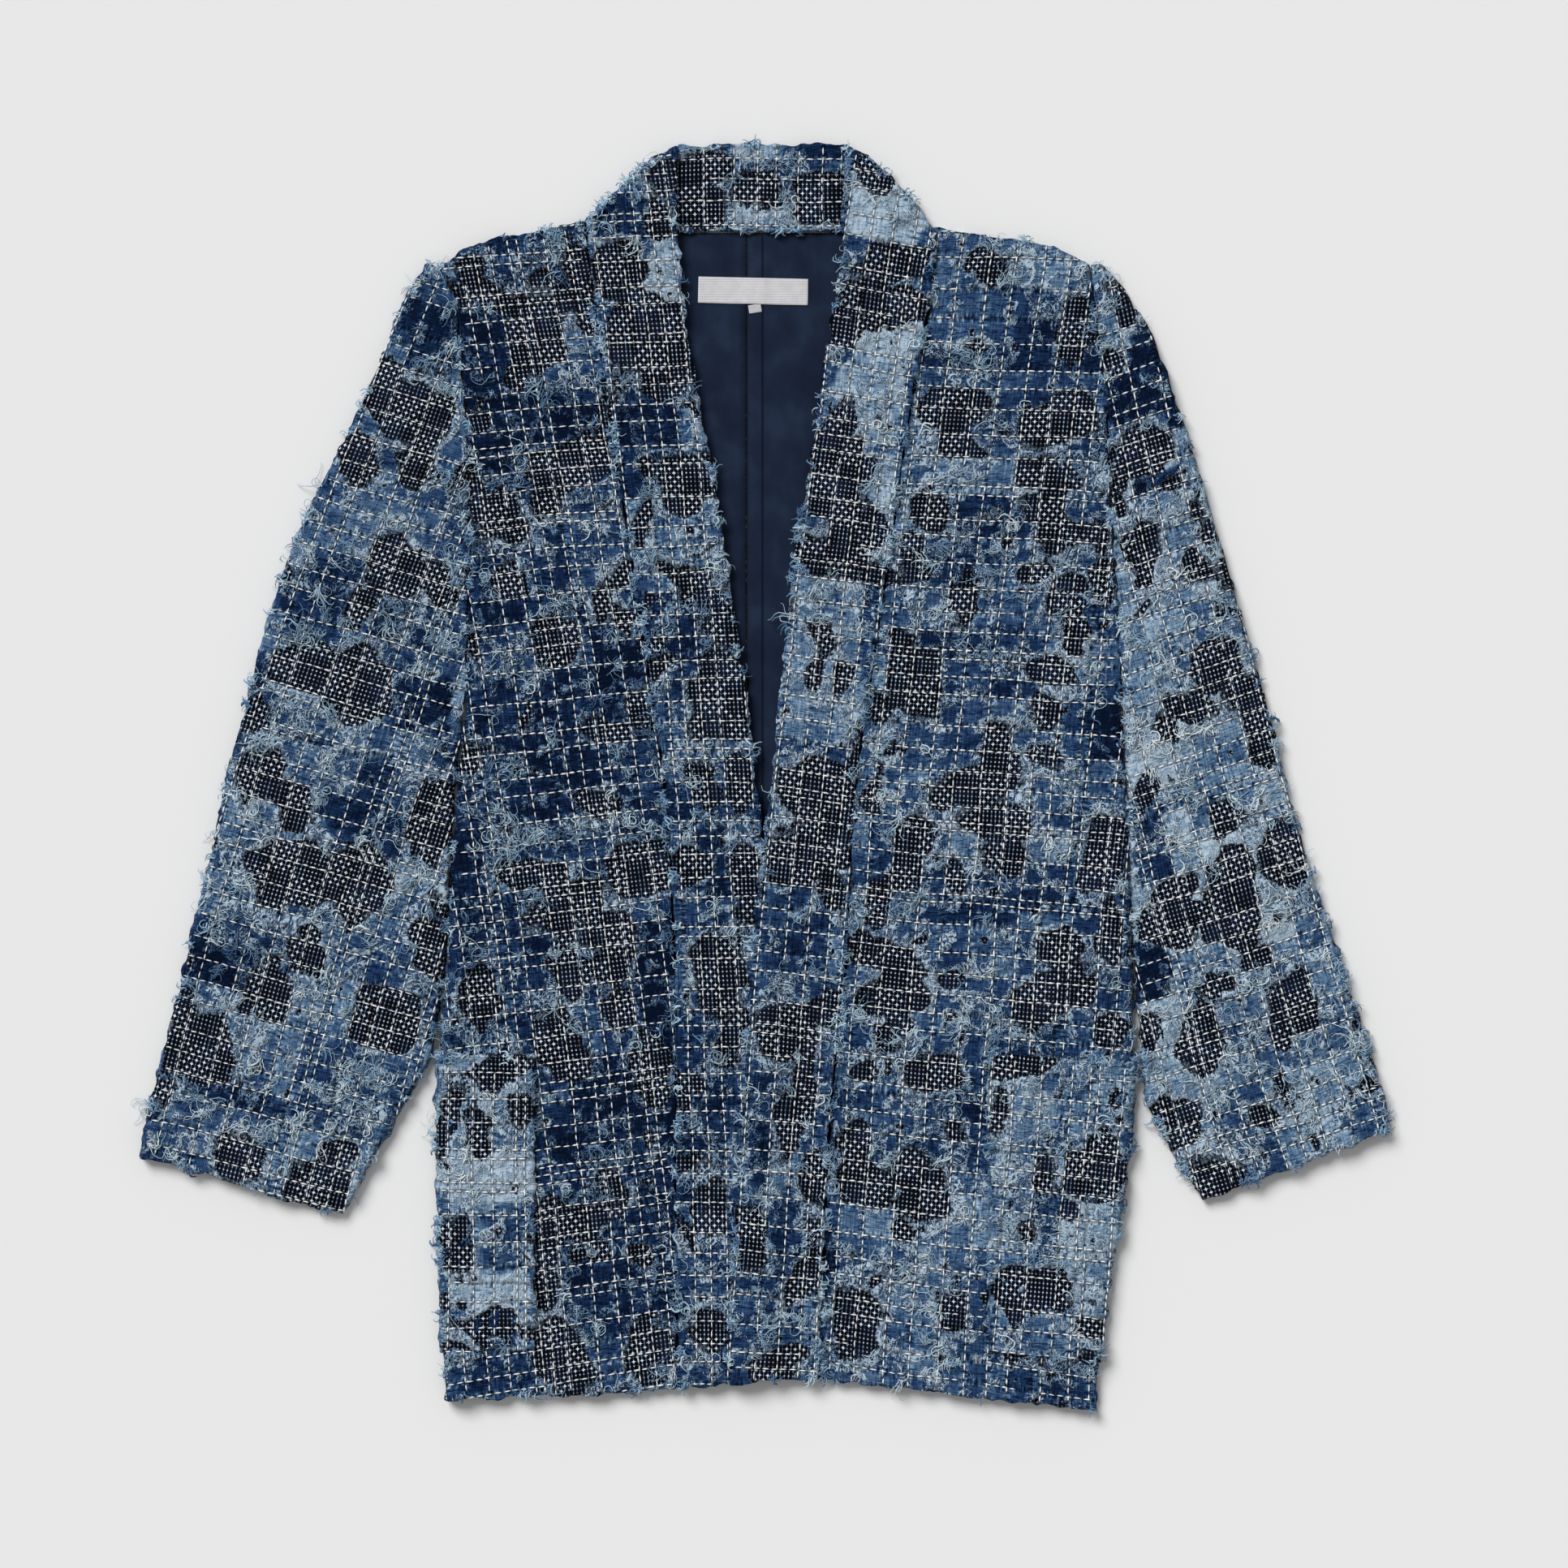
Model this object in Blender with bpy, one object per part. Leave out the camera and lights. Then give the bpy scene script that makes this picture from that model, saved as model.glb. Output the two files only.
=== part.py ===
"""Patched boro jacket, laid flat on its back with the fronts up.

An open, band-collared work jacket in the noragi cut. It lies with its collar towards +Y and
rests on z = 0. Right and left are the wearer's, so the right half is at -X. Each panel is a
wall of cloth through sections: a row of the tables below for each section across the garment.
"""

import math
from collections import namedtuple

import bmesh
import bpy

MM = 0.001

# Driving dimensions, in millimetres.
WALL = 2.2            # base cloth with its patches and running stitches
LINING = 0.8          # lining twill
FELL = 0.5            # what the felled seam adds to the lining
BAND = 4.6            # collar band: cloth folded double
LABEL = 0.5           # woven label
TAB = 0.4             # size tab under the label
GAP = 0.3             # clearance between neighbouring pieces
SIDE_HEIGHT = 9.0     # height of the rolled side edge
SLEEVE_HEIGHT = 8.0   # height of a sleeve and of the armhole edge
RETURN = 40.0         # how far a front reaches in under the garment
MOUTH_LIFT = 1.4      # how far a pocket's mouth stands off the front
CENTRE_BACK = -5.0    # x of the centre back seam
FELL_EDGES = (-11.0, 0.5)   # x of the felled lining seam's two edges

# Heights of the layers, from the table up.
BACK_TOP = WALL
LINING_BASE = BACK_TOP + GAP
LINING_TOP = LINING_BASE + LINING
FELL_TOP = LINING_TOP + FELL
FRONT_BASE = FELL_TOP + GAP
COLLAR_BASE = BAND + GAP
SHOULDER_HEIGHT = BACK_TOP + GAP + WALL

# One row for each section across the body, from the hem up: where the side or armhole edge,
# the seam with the collar band and the front edge of the band lie, and how much higher than
# the seam the band's front edge sits in that section.
Section = namedtuple("Section", "level side_r seam_r edge_r edge_l seam_l side_l rise")
SECTIONS = [
    Section(-408, -211.5, -57.0, 0.0, -22.0, 37.5, 221.5, 0.0),
    Section(-377, -212.0, -57.0, 0.0, -23.0, 38.0, 222.5, 0.0),
    Section(-330, -213.0, -57.5, 0.5, -20.3, 40.5, 228.0, 0.0),
    Section(-280, -214.0, -58.0, 1.0, -16.8, 42.0, 236.5, 0.0),
    Section(-232, -215.0, -58.0, 1.5, -12.8, 44.5, 243.0, 0.0),
    Section(-183, -215.0, -58.0, 1.5, -10.8, 49.0, 246.0, 0.0),
    Section(-120, -210.0, -58.5, 1.0, -8.3, 56.0, 246.0, 0.0),
    Section(-42, -206.0, -62.5, -0.5, -0.5, 59.0, 242.5, 0.0),
    Section(-5, -203.5, -65.5, -4.4, 6.8, 62.0, 241.0, 0.0),
    Section(45, -198.0, -72.5, -9.7, 10.3, 68.5, 238.5, 0.0),
    Section(50, -197.6, -73.3, -10.4, 10.8, 69.3, 238.3, 0.0),
    Section(100, -196.0, -81.0, -18.0, 16.5, 77.5, 236.0, 0.0),
    Section(150, -195.0, -89.0, -26.0, 22.5, 85.5, 233.0, 2.0),
    Section(200, -195.0, -97.0, -34.0, 31.5, 92.0, 229.5, 3.0),
    Section(242, -197.0, -104.0, -42.5, 38.0, 99.0, 228.0, 4.0),
    Section(275, -200.0, -108.0, -49.2, 42.6, 104.5, 226.0, 5.0),
    Section(303, -202.5, -112.5, -53.0, 49.7, 111.0, 221.5, 11.6),
    Section(325, -205.0, -114.5, -56.0, 53.0, 113.0, 219.5, 18.0),
    Section(340, -210.0, -117.0, -57.0, 56.0, 114.0, 218.0, 35.0),
    Section(352, -215.5, -117.0, -57.0, 57.0, 114.0, 217.0, 58.0),
]
HEM_LEVEL = SECTIONS[0].level
TOP_LEVEL = SECTIONS[-1].level
UNDERARM = 45         # the sides are rolled edges up to here, and armholes above
NECK_LEVEL = 325      # from here up the bands lie on the back neck band
POCKET_LEVELS = (-377, -183)
POCKET_EDGE = {"right": -151.0, "left": 149.0}
LINING_HEM_LEVEL = -393
LINING_INSET = 7.0    # how far the lining stays in from the sides and armholes
LINING_DROP = 14.0    # how far it stays below the shoulders

# The hem, and the line of shoulders and back neck, as y for x.
HEM_LINE = [(-213, -414), (-86, -409), (-57, -406), (-20, -403), (4, -399), (46, -401),
            (103, -407), (144, -412), (185, -417), (222, -421)]
SHOULDER_LINE = [(-215, 338), (-196, 352), (-175, 357), (-155, 360), (-138, 365), (-117, 368),
                 (-57, 361), (57, 361), (117, 364), (141, 359), (172, 355), (195, 351), (217, 340)]

# One row for each section of a sleeve, from the shoulder to the cuff: a point of its outer edge,
# and where it starts. While it lies along the body that is the body's section of that level,
# and below that it has its own inner edge.
SleeveRow = namedtuple("SleeveRow", "outer_x outer_y level inner height",
                       defaults=(None, None, SLEEVE_HEIGHT))
SLEEVE_ROWS = {
    "right": [
        SleeveRow(-223, 341, level=352, height=5.0),
        SleeveRow(-234, 325, level=340, height=7.0),
        SleeveRow(-242, 309, level=325),
        SleeveRow(-251, 283, level=303),
        SleeveRow(-266, 250, level=275),
        SleeveRow(-282, 215, level=242),
        SleeveRow(-301, 180, level=200),
        SleeveRow(-318, 138, level=150),
        SleeveRow(-332, 97, level=100),
        SleeveRow(-343, 50, level=50),
        SleeveRow(-344.5, 44, level=45),
        SleeveRow(-356, 0, level=-5),
        SleeveRow(-364, -38, level=-42),
        SleeveRow(-381, -112, level=-120),
        SleeveRow(-396, -172, inner=(-219.5, -186)),
        SleeveRow(-405, -207, inner=(-235, -213)),
        SleeveRow(-411, -232, inner=(-256, -250)),
        SleeveRow(-413, -252, inner=(-279, -292), height=7.4),
    ],
    "left": [
        SleeveRow(226, 340, level=352, height=5.0),
        SleeveRow(237, 328, level=340, height=7.0),
        SleeveRow(246, 314, level=325),
        SleeveRow(257, 296, level=303),
        SleeveRow(269, 267, level=275),
        SleeveRow(279, 236, level=242),
        SleeveRow(292, 194, level=200),
        SleeveRow(306, 148, level=150),
        SleeveRow(320.5, 98, level=100),
        SleeveRow(334.5, 48, level=50),
        SleeveRow(336, 43, level=45),
        SleeveRow(348, -7, level=-5),
        SleeveRow(357, -42, level=-42),
        SleeveRow(380, -112, level=-120),
        SleeveRow(402, -180, inner=(251, -188)),
        SleeveRow(412, -208, inner=(254, -218)),
        SleeveRow(414.5, -222, inner=(272, -250)),
        SleeveRow(415, -235, inner=(292, -282), height=7.4),
    ],
}

# The largest soft folds: centre, heading from +X, length, width and height of each swell.
Fold = namedtuple("Fold", "x y heading length width height")
FOLDS = [
    Fold(-262, 95, 148, 150, 26, 1.6),
    Fold(-285, -20, 165, 140, 30, 1.8),
    Fold(-325, -150, 160, 120, 28, 1.3),
    Fold(292, 80, 34, 140, 26, 1.6),
    Fold(305, -45, 22, 150, 30, 1.8),
    Fold(345, -160, 18, 120, 28, 1.2),
    Fold(-150, 120, 62, 170, 34, 1.4),
    Fold(-120, -90, 95, 200, 36, 1.2),
    Fold(165, 150, 112, 190, 34, 1.5),
    Fold(120, -100, 88, 210, 38, 1.3),
]

# The parts of a section that are shared out evenly, and the angles round a rolled edge.
FRONT_INNER_SPLITS = 5
FRONT_OUTER_SPLITS = 3
BAND_SPLITS = 8
SLEEVE_TOP_SPLITS = 7
SLEEVE_UNDER_SPLITS = 3
ROLL_ANGLES = (30, 60, 90, 120, 150)
POCKET_ROLL_ANGLES = (30, 60, 90, 120)
COLLAR_ROLL_ANGLES = (0, 45, 90, 113)
LAP_EDGE = 20.0       # x from which the left band climbs over the right one
LAP_RAMP_X = 15.0     # how far it takes to climb
LAP_START = -8.0      # y below which it does so
LAP_RAMP_Y = 28.0
COLLAR_ROLL = 5.0     # outer radius of the collar's turned top
COLLAR_BOW = 6.0      # how far the collar's top bows out between its corners

# Back neck band: x of its sections, out to where it runs in under each front band.
NECK_XS = (-104, -88, -72, -56.9, -56.4, -28, 0, 28, 56.4, 56.9, 72, 88, 102)
NECK_VISIBLE = 56.5   # half the stretch of it that shows
NECK_POINT = 117.0    # where the neck seam meets the shoulder seam
NECK_TOP = 419.5

# Label and size tab, on the lining below the neck seam.
LABEL_SPAN = (-43.0, 30.0)
LABEL_Y = 313.5
LABEL_HEIGHT = 17.5
LABEL_RUN = 0.6       # how far the label's step stands off the felled seam
TAB_SPAN = (-9.5, -1.0)
TAB_DROP = 5.5

MATERIALS = {
    "boro_deep": ((0.035, 0.075, 0.165, 1.0), 0.9),
    "boro_mid": ((0.055, 0.115, 0.225, 1.0), 0.9),
    "boro_pale": ((0.13, 0.21, 0.32, 1.0), 0.92),
    "lining_twill": ((0.022, 0.038, 0.085, 1.0), 0.8),
    "label_satin": ((0.78, 0.78, 0.78, 1.0), 0.55),
}


def clear_scene():
    for old in list(bpy.data.objects):
        bpy.data.objects.remove(old, do_unlink=True)


def lookup(line, at):
    """The value of a broken line at one place, level beyond its ends."""
    if at <= line[0][0]:
        return line[0][1]
    for (x0, y0), (x1, y1) in zip(line, line[1:]):
        if at <= x1:
            return y0 + (y1 - y0) * (at - x0) / (x1 - x0)
    return line[-1][1]


def smooth(fraction):
    """An even step from 0 to 1, soft at both ends."""
    fraction = min(max(fraction, 0.0), 1.0)
    return fraction * fraction * (3 - 2 * fraction)


def lies_at(x, level):
    """The y at which a section passes x: it follows the hem low down, the shoulders high up."""
    share = (level - HEM_LEVEL) / (TOP_LEVEL - HEM_LEVEL)
    hem = (lookup(HEM_LINE, x) - HEM_LEVEL) * (1 - share) ** 3
    shoulder = (lookup(SHOULDER_LINE, x) - TOP_LEVEL) * share ** 3
    return level + hem + shoulder


def swell(x, y):
    """How much the soft folds lift the cloth."""
    lift = 0.0
    for fold in FOLDS:
        turn = math.radians(fold.heading)
        along = (x - fold.x) * math.cos(turn) + (y - fold.y) * math.sin(turn)
        across = (y - fold.y) * math.cos(turn) - (x - fold.x) * math.sin(turn)
        lift += fold.height * math.exp(-(2 * along / fold.length) ** 2 - (across / fold.width) ** 2)
    return lift


def material(name):
    made = bpy.data.materials.get(name)
    if made:
        return made
    made = bpy.data.materials.new(name)
    made.use_nodes = True
    colour, roughness = MATERIALS[name]
    shader = made.node_tree.nodes["Principled BSDF"]
    shader.inputs["Base Color"].default_value = colour
    shader.inputs["Roughness"].default_value = roughness
    shader.inputs["Metallic"].default_value = 0.0
    return made


def cloth(name, outside, inside, finish, closed=False):
    """Join two matching grids of points, rows by columns, into one wall of cloth.

    A cell is left open where a point is None, and closed grids meet round their last column.
    """
    bm = bmesh.new()
    skins = []
    for grid in (outside, inside):
        skins.append([[p and bm.verts.new([value * MM for value in p]) for p in row] for row in grid])
    across = len(outside[0]) if closed else len(outside[0]) - 1
    for skin in skins:
        for low, high in zip(skin, skin[1:]):
            for start in range(across):
                end = (start + 1) % len(low)
                corners = (low[start], low[end], high[end], high[start])
                if all(corners):
                    bm.faces.new(corners if skin is skins[0] else corners[::-1])
    partner = {}
    for outer_row, inner_row in zip(*skins):
        partner.update((o, i) for o, i in zip(outer_row, inner_row) if o)
    for edge in [e for e in bm.edges if e.is_boundary and e.verts[0] in partner]:
        first, second = edge.verts
        bm.faces.new((first, second, partner[second], partner[first]))
    bmesh.ops.recalc_face_normals(bm, faces=bm.faces)
    mesh = bpy.data.meshes.new(name)
    bm.to_mesh(mesh)
    bm.free()
    mesh.shade_smooth()
    mesh.set_sharp_from_angle(angle=math.radians(40))
    mesh.materials.append(material(finish))
    made = bpy.data.objects.new(name, mesh)
    bpy.context.collection.objects.link(made)
    return made


def roll(x, y, away, height, wall, degrees):
    """Outer and inner point at an angle round an edge that rolls from its top to the table.

    The roll's extreme is at x, y; away is the unit direction in plan out of the cloth.
    """
    outer = height / 2
    inner = outer - wall
    angle = math.radians(degrees)
    points = []
    for radius in (outer, inner):
        reach = radius * math.sin(angle) - outer
        points.append((x + away[0] * reach, y + away[1] * reach, outer + radius * math.cos(angle)))
    return points


def front_height(section, share, x, y):
    """Height of a front's outer face: low at the band, soft at the side, down at the shoulder."""
    if section.level == TOP_LEVEL:
        return SHOULDER_HEIGHT
    edge = SIDE_HEIGHT if section.level <= UNDERARM else SLEEVE_HEIGHT
    base = FRONT_BASE + WALL
    return base + (edge - base) * smooth(share) + swell(x, y) * smooth(4 * (1 - share))


def front_points(side):
    """Outer and inner points of a front, section by section, from the band's seam outwards."""
    sign = -1 if side == "right" else 1
    outside, inside = [], []
    for section in SECTIONS:
        seam = section.seam_r if side == "right" else section.seam_l
        edge = section.side_r if side == "right" else section.side_l
        rolled = section.level <= UNDERARM
        flat_end = edge - sign * SIDE_HEIGHT / 2 if rolled else edge
        pocket = POCKET_EDGE[side]
        xs = [seam + (pocket - seam) * n / FRONT_INNER_SPLITS for n in range(FRONT_INNER_SPLITS)]
        xs += [pocket + (flat_end - pocket) * n / FRONT_OUTER_SPLITS
               for n in range(FRONT_OUTER_SPLITS + 1)]
        outer, inner = [], []
        for x in xs:
            y = lies_at(x, section.level)
            z = front_height(section, (x - seam) / (flat_end - seam), x, y)
            outer.append((x, y, z))
            inner.append((x, y, z - WALL))
        for degrees in ROLL_ANGLES:
            pair = roll(edge, lies_at(edge, section.level), (sign, 0), SIDE_HEIGHT, WALL, degrees)
            outer.append(pair[0] if rolled else None)
            inner.append(pair[1] if rolled else None)
        for x in (flat_end, edge - sign * RETURN / 2, edge - sign * RETURN):
            y = lies_at(x, section.level)
            outer.append((x, y, 0.0) if rolled else None)
            inner.append((x, y, WALL) if rolled else None)
        outside.append(outer)
        inside.append(inner)
    return outside, inside


def make_front(side):
    outside, inside = front_points(side)
    return cloth("front_" + side, outside, inside, "boro_deep" if side == "right" else "boro_mid")


def make_pocket(side):
    """A patch pocket made from the front's own points, moved out."""
    sign = -1 if side == "right" else 1
    outside, inside = front_points(side)
    low, high = POCKET_LEVELS
    rows = [n for n, section in enumerate(SECTIONS) if low <= section.level <= high]
    first = FRONT_INNER_SPLITS
    last = first + FRONT_OUTER_SPLITS + len(POCKET_ROLL_ANGLES)
    outer_grid, inner_grid = [], []
    for row in rows:
        outer, inner = [], []
        for column in range(first, last + 1):
            x, y, z = outside[row][column]
            turned = column - first - FRONT_OUTER_SPLITS
            angle = math.radians(POCKET_ROLL_ANGLES[turned - 1]) if turned > 0 else 0.0
            lift = MOUTH_LIFT if row == rows[-1] and turned < 0 and column > first else 0.0
            for grid, off in ((inner, GAP), (outer, GAP + WALL)):
                off += lift
                grid.append((x + sign * off * math.sin(angle), y, z + off * math.cos(angle)))
        outer_grid.append(outer)
        inner_grid.append(inner)
    return cloth("pocket_" + side, outer_grid, inner_grid, "boro_pale")


def make_back(side):
    """Half of the back, flat on the table; it widens to the armhole above the underarm."""
    sign = -1 if side == "right" else 1
    centre = CENTRE_BACK + sign * GAP / 2
    outside, inside = [], []
    for section in SECTIONS:
        edge = section.side_r if side == "right" else section.side_l
        if section.level == UNDERARM:
            continue
        inset = edge - sign * (RETURN + GAP)
        xs = [centre, sign * NECK_VISIBLE, sign * NECK_POINT, inset, edge]
        under = [(x, lies_at(x, section.level), 0.0) for x in xs]
        if section.level < UNDERARM:
            under[-1] = None
        outside.append(under)
        inside.append([p and (p[0], p[1], WALL) for p in under])
    return cloth("back_" + side, outside, inside, "boro_mid")


def lining_y(x, level):
    """The lining stops short of the shoulders, but reaches the neck seam."""
    if level < TOP_LEVEL:
        return lies_at(x, level)
    return lies_at(x, level) - (GAP if abs(x) <= NECK_VISIBLE else LINING_DROP)


def make_lining(side):
    """Half of the back lining; the left half carries the felled seam along its centre."""
    sign = -1 if side == "right" else 1
    levels = [s for s in SECTIONS if s.level not in (HEM_LEVEL, UNDERARM, 340, -42, -5)]
    tops, unders = [], []
    for section in [None] + levels:
        row = section or SECTIONS[0]
        level = section.level if section else LINING_HEM_LEVEL
        edge = row.side_r if side == "right" else row.side_l
        outer = edge - sign * LINING_INSET
        if side == "right":
            places = [(FELL_EDGES[0] - GAP, LINING_TOP)]
        else:
            places = [(FELL_EDGES[0], FELL_TOP), (FELL_EDGES[1], FELL_TOP),
                      (FELL_EDGES[1] + FELL, LINING_TOP)]
        neck = sign * NECK_VISIBLE
        past_neck = sign * (NECK_VISIBLE + LINING_INSET)
        places += [(neck, LINING_TOP), (past_neck, LINING_TOP), (outer, LINING_TOP)]
        tops.append([(x, lining_y(x, level), z) for x, z in places])
        unders.append([(x, lining_y(x, level), LINING_BASE) for x, z in places])
    return cloth("lining_" + side, tops, unders, "lining_twill")


def band_base(side, section, x, y):
    """Height that a front band rests at: on the lining, the neck band or the other band."""
    if section.level >= NECK_LEVEL:
        return COLLAR_BASE
    if side == "right":
        return FRONT_BASE
    across = smooth((LAP_EDGE - x) / LAP_RAMP_X)
    down = smooth((LAP_START - y) / LAP_RAMP_Y)
    return FRONT_BASE + (BAND + GAP) * across * down


def make_band(side):
    """A front band, from the hem up to where it turns over behind the neck."""
    sign = -1 if side == "right" else 1
    outside, inside = [], []
    for section in SECTIONS:
        seam = (section.seam_r if side == "right" else section.seam_l) - sign * GAP
        edge = section.edge_r if side == "right" else section.edge_l
        last = section.level == TOP_LEVEL
        outer, inner = [], []
        for n in range(BAND_SPLITS + 1):
            share = n / BAND_SPLITS
            x = edge + (seam - edge) * share
            y = lies_at(x, section.level) + section.rise * (1 - share)
            if last:
                y += COLLAR_BOW * 4 * share * (1 - share) - COLLAR_ROLL
            z = band_base(side, section, x, y)
            outer.append((x, y, z + BAND))
            inner.append((x, y, z))
        outside.append(outer)
        inside.append(inner)
    centre = COLLAR_BASE + BAND - COLLAR_ROLL
    flat_end = outside.pop()
    inside.pop()
    for degrees in COLLAR_ROLL_ANGLES:
        angle = math.radians(degrees)
        for grid, radius in ((outside, COLLAR_ROLL), (inside, COLLAR_ROLL - BAND)):
            grid.append([(x, y + radius * math.sin(angle), centre + radius * math.cos(angle))
                         for x, y, z in flat_end])
    return cloth("band_" + side, outside, inside, "boro_deep" if side == "right" else "boro_mid")


def collar_top(x):
    """The y of the collar's turned top above x, outside the visible back neck."""
    section = SECTIONS[-1]
    edge, seam = (section.edge_r, section.seam_r) if x < 0 else (section.edge_l, section.seam_l)
    share = (x - edge) / (seam - edge)
    return lies_at(x, TOP_LEVEL) + section.rise * (1 - share) + COLLAR_BOW * 4 * share * (1 - share)


def make_neck_band():
    """The band's back neck stretch, standing up behind the neck seam and pressed flat."""
    lower, upper = [], []
    for x in NECK_XS:
        low = lies_at(x, TOP_LEVEL) + GAP
        if abs(x) < NECK_VISIBLE:
            high = NECK_TOP
        else:
            high = collar_top(x) - COLLAR_ROLL - 2 * GAP
        ys = [low, (low + high) / 2, high]
        lower.append([(x, y, 0.0) for y in ys])
        upper.append([(x, y, BAND) for y in ys])
    return cloth("band_neck", upper, lower, "boro_mid")


def make_sleeve(side):
    """A flattened tube, open at the cuff and along the armhole."""
    sign = -1 if side == "right" else 1
    by_level = {section.level: section for section in SECTIONS}
    outside, inside = [], []
    for row in SLEEVE_ROWS[side]:
        rolled = row.level is None or row.level <= UNDERARM
        if row.inner:
            ix, iy = row.inner
        else:
            section = by_level[row.level]
            edge = section.side_r if side == "right" else section.side_l
            ix, iy = edge + sign * GAP, lies_at(edge, row.level)
        length = math.hypot(row.outer_x - ix, row.outer_y - iy)
        away = ((row.outer_x - ix) / length, (row.outer_y - iy) / length)
        radius = row.height / 2
        start = radius if rolled else 0.0
        end = length - radius
        outer, inner = [], []
        for n in range(SLEEVE_TOP_SPLITS + 1):
            share = n / SLEEVE_TOP_SPLITS
            reach = start + (end - start) * share
            x, y = ix + away[0] * reach, iy + away[1] * reach
            fade = smooth(5 * share) if rolled else 1.0
            full = swell(x, y) * fade * smooth(5 * (1 - share)) if row.height == SLEEVE_HEIGHT else 0
            outer.append((x, y, row.height + full))
            inner.append((x, y, row.height + full - WALL))
        for degrees in ROLL_ANGLES:
            pair = roll(row.outer_x, row.outer_y, away, row.height, WALL, degrees)
            outer.append(pair[0])
            inner.append(pair[1])
        for n in range(SLEEVE_UNDER_SPLITS + 1):
            reach = end + (start - end) * n / SLEEVE_UNDER_SPLITS
            x, y = ix + away[0] * reach, iy + away[1] * reach
            outer.append((x, y, 0.0))
            inner.append((x, y, WALL))
        for degrees in reversed(ROLL_ANGLES):
            pair = roll(ix, iy, (-away[0], -away[1]), row.height, WALL, degrees)
            outer.append(pair[0] if rolled else None)
            inner.append(pair[1] if rolled else None)
        outside.append(outer)
        inside.append(inner)
    return cloth("sleeve_" + side, outside, inside, "boro_mid", closed=True)


def make_label():
    """The label crosses the felled seam, so it steps up over it."""
    left, right = LABEL_SPAN
    low, high = FELL_EDGES
    steps = [(left, 0.0), (low - 3 * LABEL_RUN, 0.0), (low - LABEL_RUN, FELL),
             (high + FELL + LABEL_RUN, FELL), (high + FELL + 3 * LABEL_RUN, 0.0), (right, 0.0)]
    under, upper = [], []
    for x, step in steps:
        base = LINING_TOP + GAP + step
        ys = (LABEL_Y, LABEL_Y + LABEL_HEIGHT)
        under.append([(x, y, base) for y in ys])
        upper.append([(x, y, base + LABEL) for y in ys])
    return cloth("label", upper, under, "label_satin")


def make_size_tab():
    under, upper = [], []
    base = FELL_TOP + GAP
    for x in TAB_SPAN:
        ys = (LABEL_Y - GAP - TAB_DROP, LABEL_Y - GAP)
        under.append([(x, y, base) for y in ys])
        upper.append([(x, y, base + TAB) for y in ys])
    return cloth("size_tab", upper, under, "label_satin")


def centre_on_origin(pieces):
    """Put the middle of the garment's box over the origin; the table is already z = 0."""
    points = [vertex.co for piece in pieces for vertex in piece.data.vertices]
    middle = [(min(p[axis] for p in points) + max(p[axis] for p in points)) / 2 for axis in (0, 1)]
    for piece in pieces:
        for vertex in piece.data.vertices:
            vertex.co.x -= middle[0]
            vertex.co.y -= middle[1]


def main():
    clear_scene()
    pieces = [make_neck_band(), make_label(), make_size_tab()]
    for side in ("right", "left"):
        pieces += [make_back(side), make_lining(side), make_front(side), make_pocket(side),
                   make_band(side), make_sleeve(side)]
    centre_on_origin(pieces)


main()
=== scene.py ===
# %% [markdown]
# # A patched boro jacket, laid flat on its back
# Boro is mended cloth. A dark cotton printed with small white crosses is covered with pieces of
# faded indigo sheeting, and long rows of white running stitches hold the layers together. As the
# sheeting wears it tears open between the rows, so the crosses show through, and the broken
# yarns curl up along the tears. Here every panel of the jacket gets four things: a thin cloth
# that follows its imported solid, the wear laid over that cloth, the stitches, and the loose yarns.

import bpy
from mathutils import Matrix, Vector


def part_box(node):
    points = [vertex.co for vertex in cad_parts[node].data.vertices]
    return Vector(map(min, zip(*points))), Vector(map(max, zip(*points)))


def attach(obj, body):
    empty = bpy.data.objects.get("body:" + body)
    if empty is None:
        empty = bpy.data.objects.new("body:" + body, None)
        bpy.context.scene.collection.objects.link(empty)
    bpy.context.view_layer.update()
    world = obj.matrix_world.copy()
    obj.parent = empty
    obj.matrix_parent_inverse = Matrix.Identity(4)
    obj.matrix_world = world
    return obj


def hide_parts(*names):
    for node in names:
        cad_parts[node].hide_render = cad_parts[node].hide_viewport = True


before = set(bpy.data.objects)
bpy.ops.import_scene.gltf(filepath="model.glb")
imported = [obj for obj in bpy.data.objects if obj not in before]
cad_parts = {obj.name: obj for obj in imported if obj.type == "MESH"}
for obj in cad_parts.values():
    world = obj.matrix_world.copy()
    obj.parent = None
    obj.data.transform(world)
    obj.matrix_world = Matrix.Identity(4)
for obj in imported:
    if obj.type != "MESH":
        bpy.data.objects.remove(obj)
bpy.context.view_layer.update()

# %% [markdown]
# Lengths in the tables below are millimetres, because a maker measures cloth that way, and
# Blender's own unit is the metre. X runs across the jacket, Y up to the collar, Z off the table.
# The wearer's right half is at negative X.

# %% Bring in the tools and fix the units
import math
import random
from collections import namedtuple

import bmesh
import bpy
import numpy as np
from mathutils import Matrix, Vector, noise
from mathutils.bvhtree import BVHTree

MM = 0.001
DOWN = Vector((0, 0, -1))
UP = Vector((0, 0, 1))
random.seed(11)

# %% [markdown]
# ## The cut
# One row for each panel that a maker would cut from the quilted cloth. `rows` is how far its
# stitched rows climb from level, and `lean` how far its stitched columns lean, in degrees, at
# the top of the panel and at its foot: the jacket isn't laid out quite straight. `tone` is how
# faded the sheeting is, from 0 for deep indigo to 1 for almost white, and `frayed` how much
# loose yarn covers it. `flat` is the panel's cut, width and length in metres.

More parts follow.
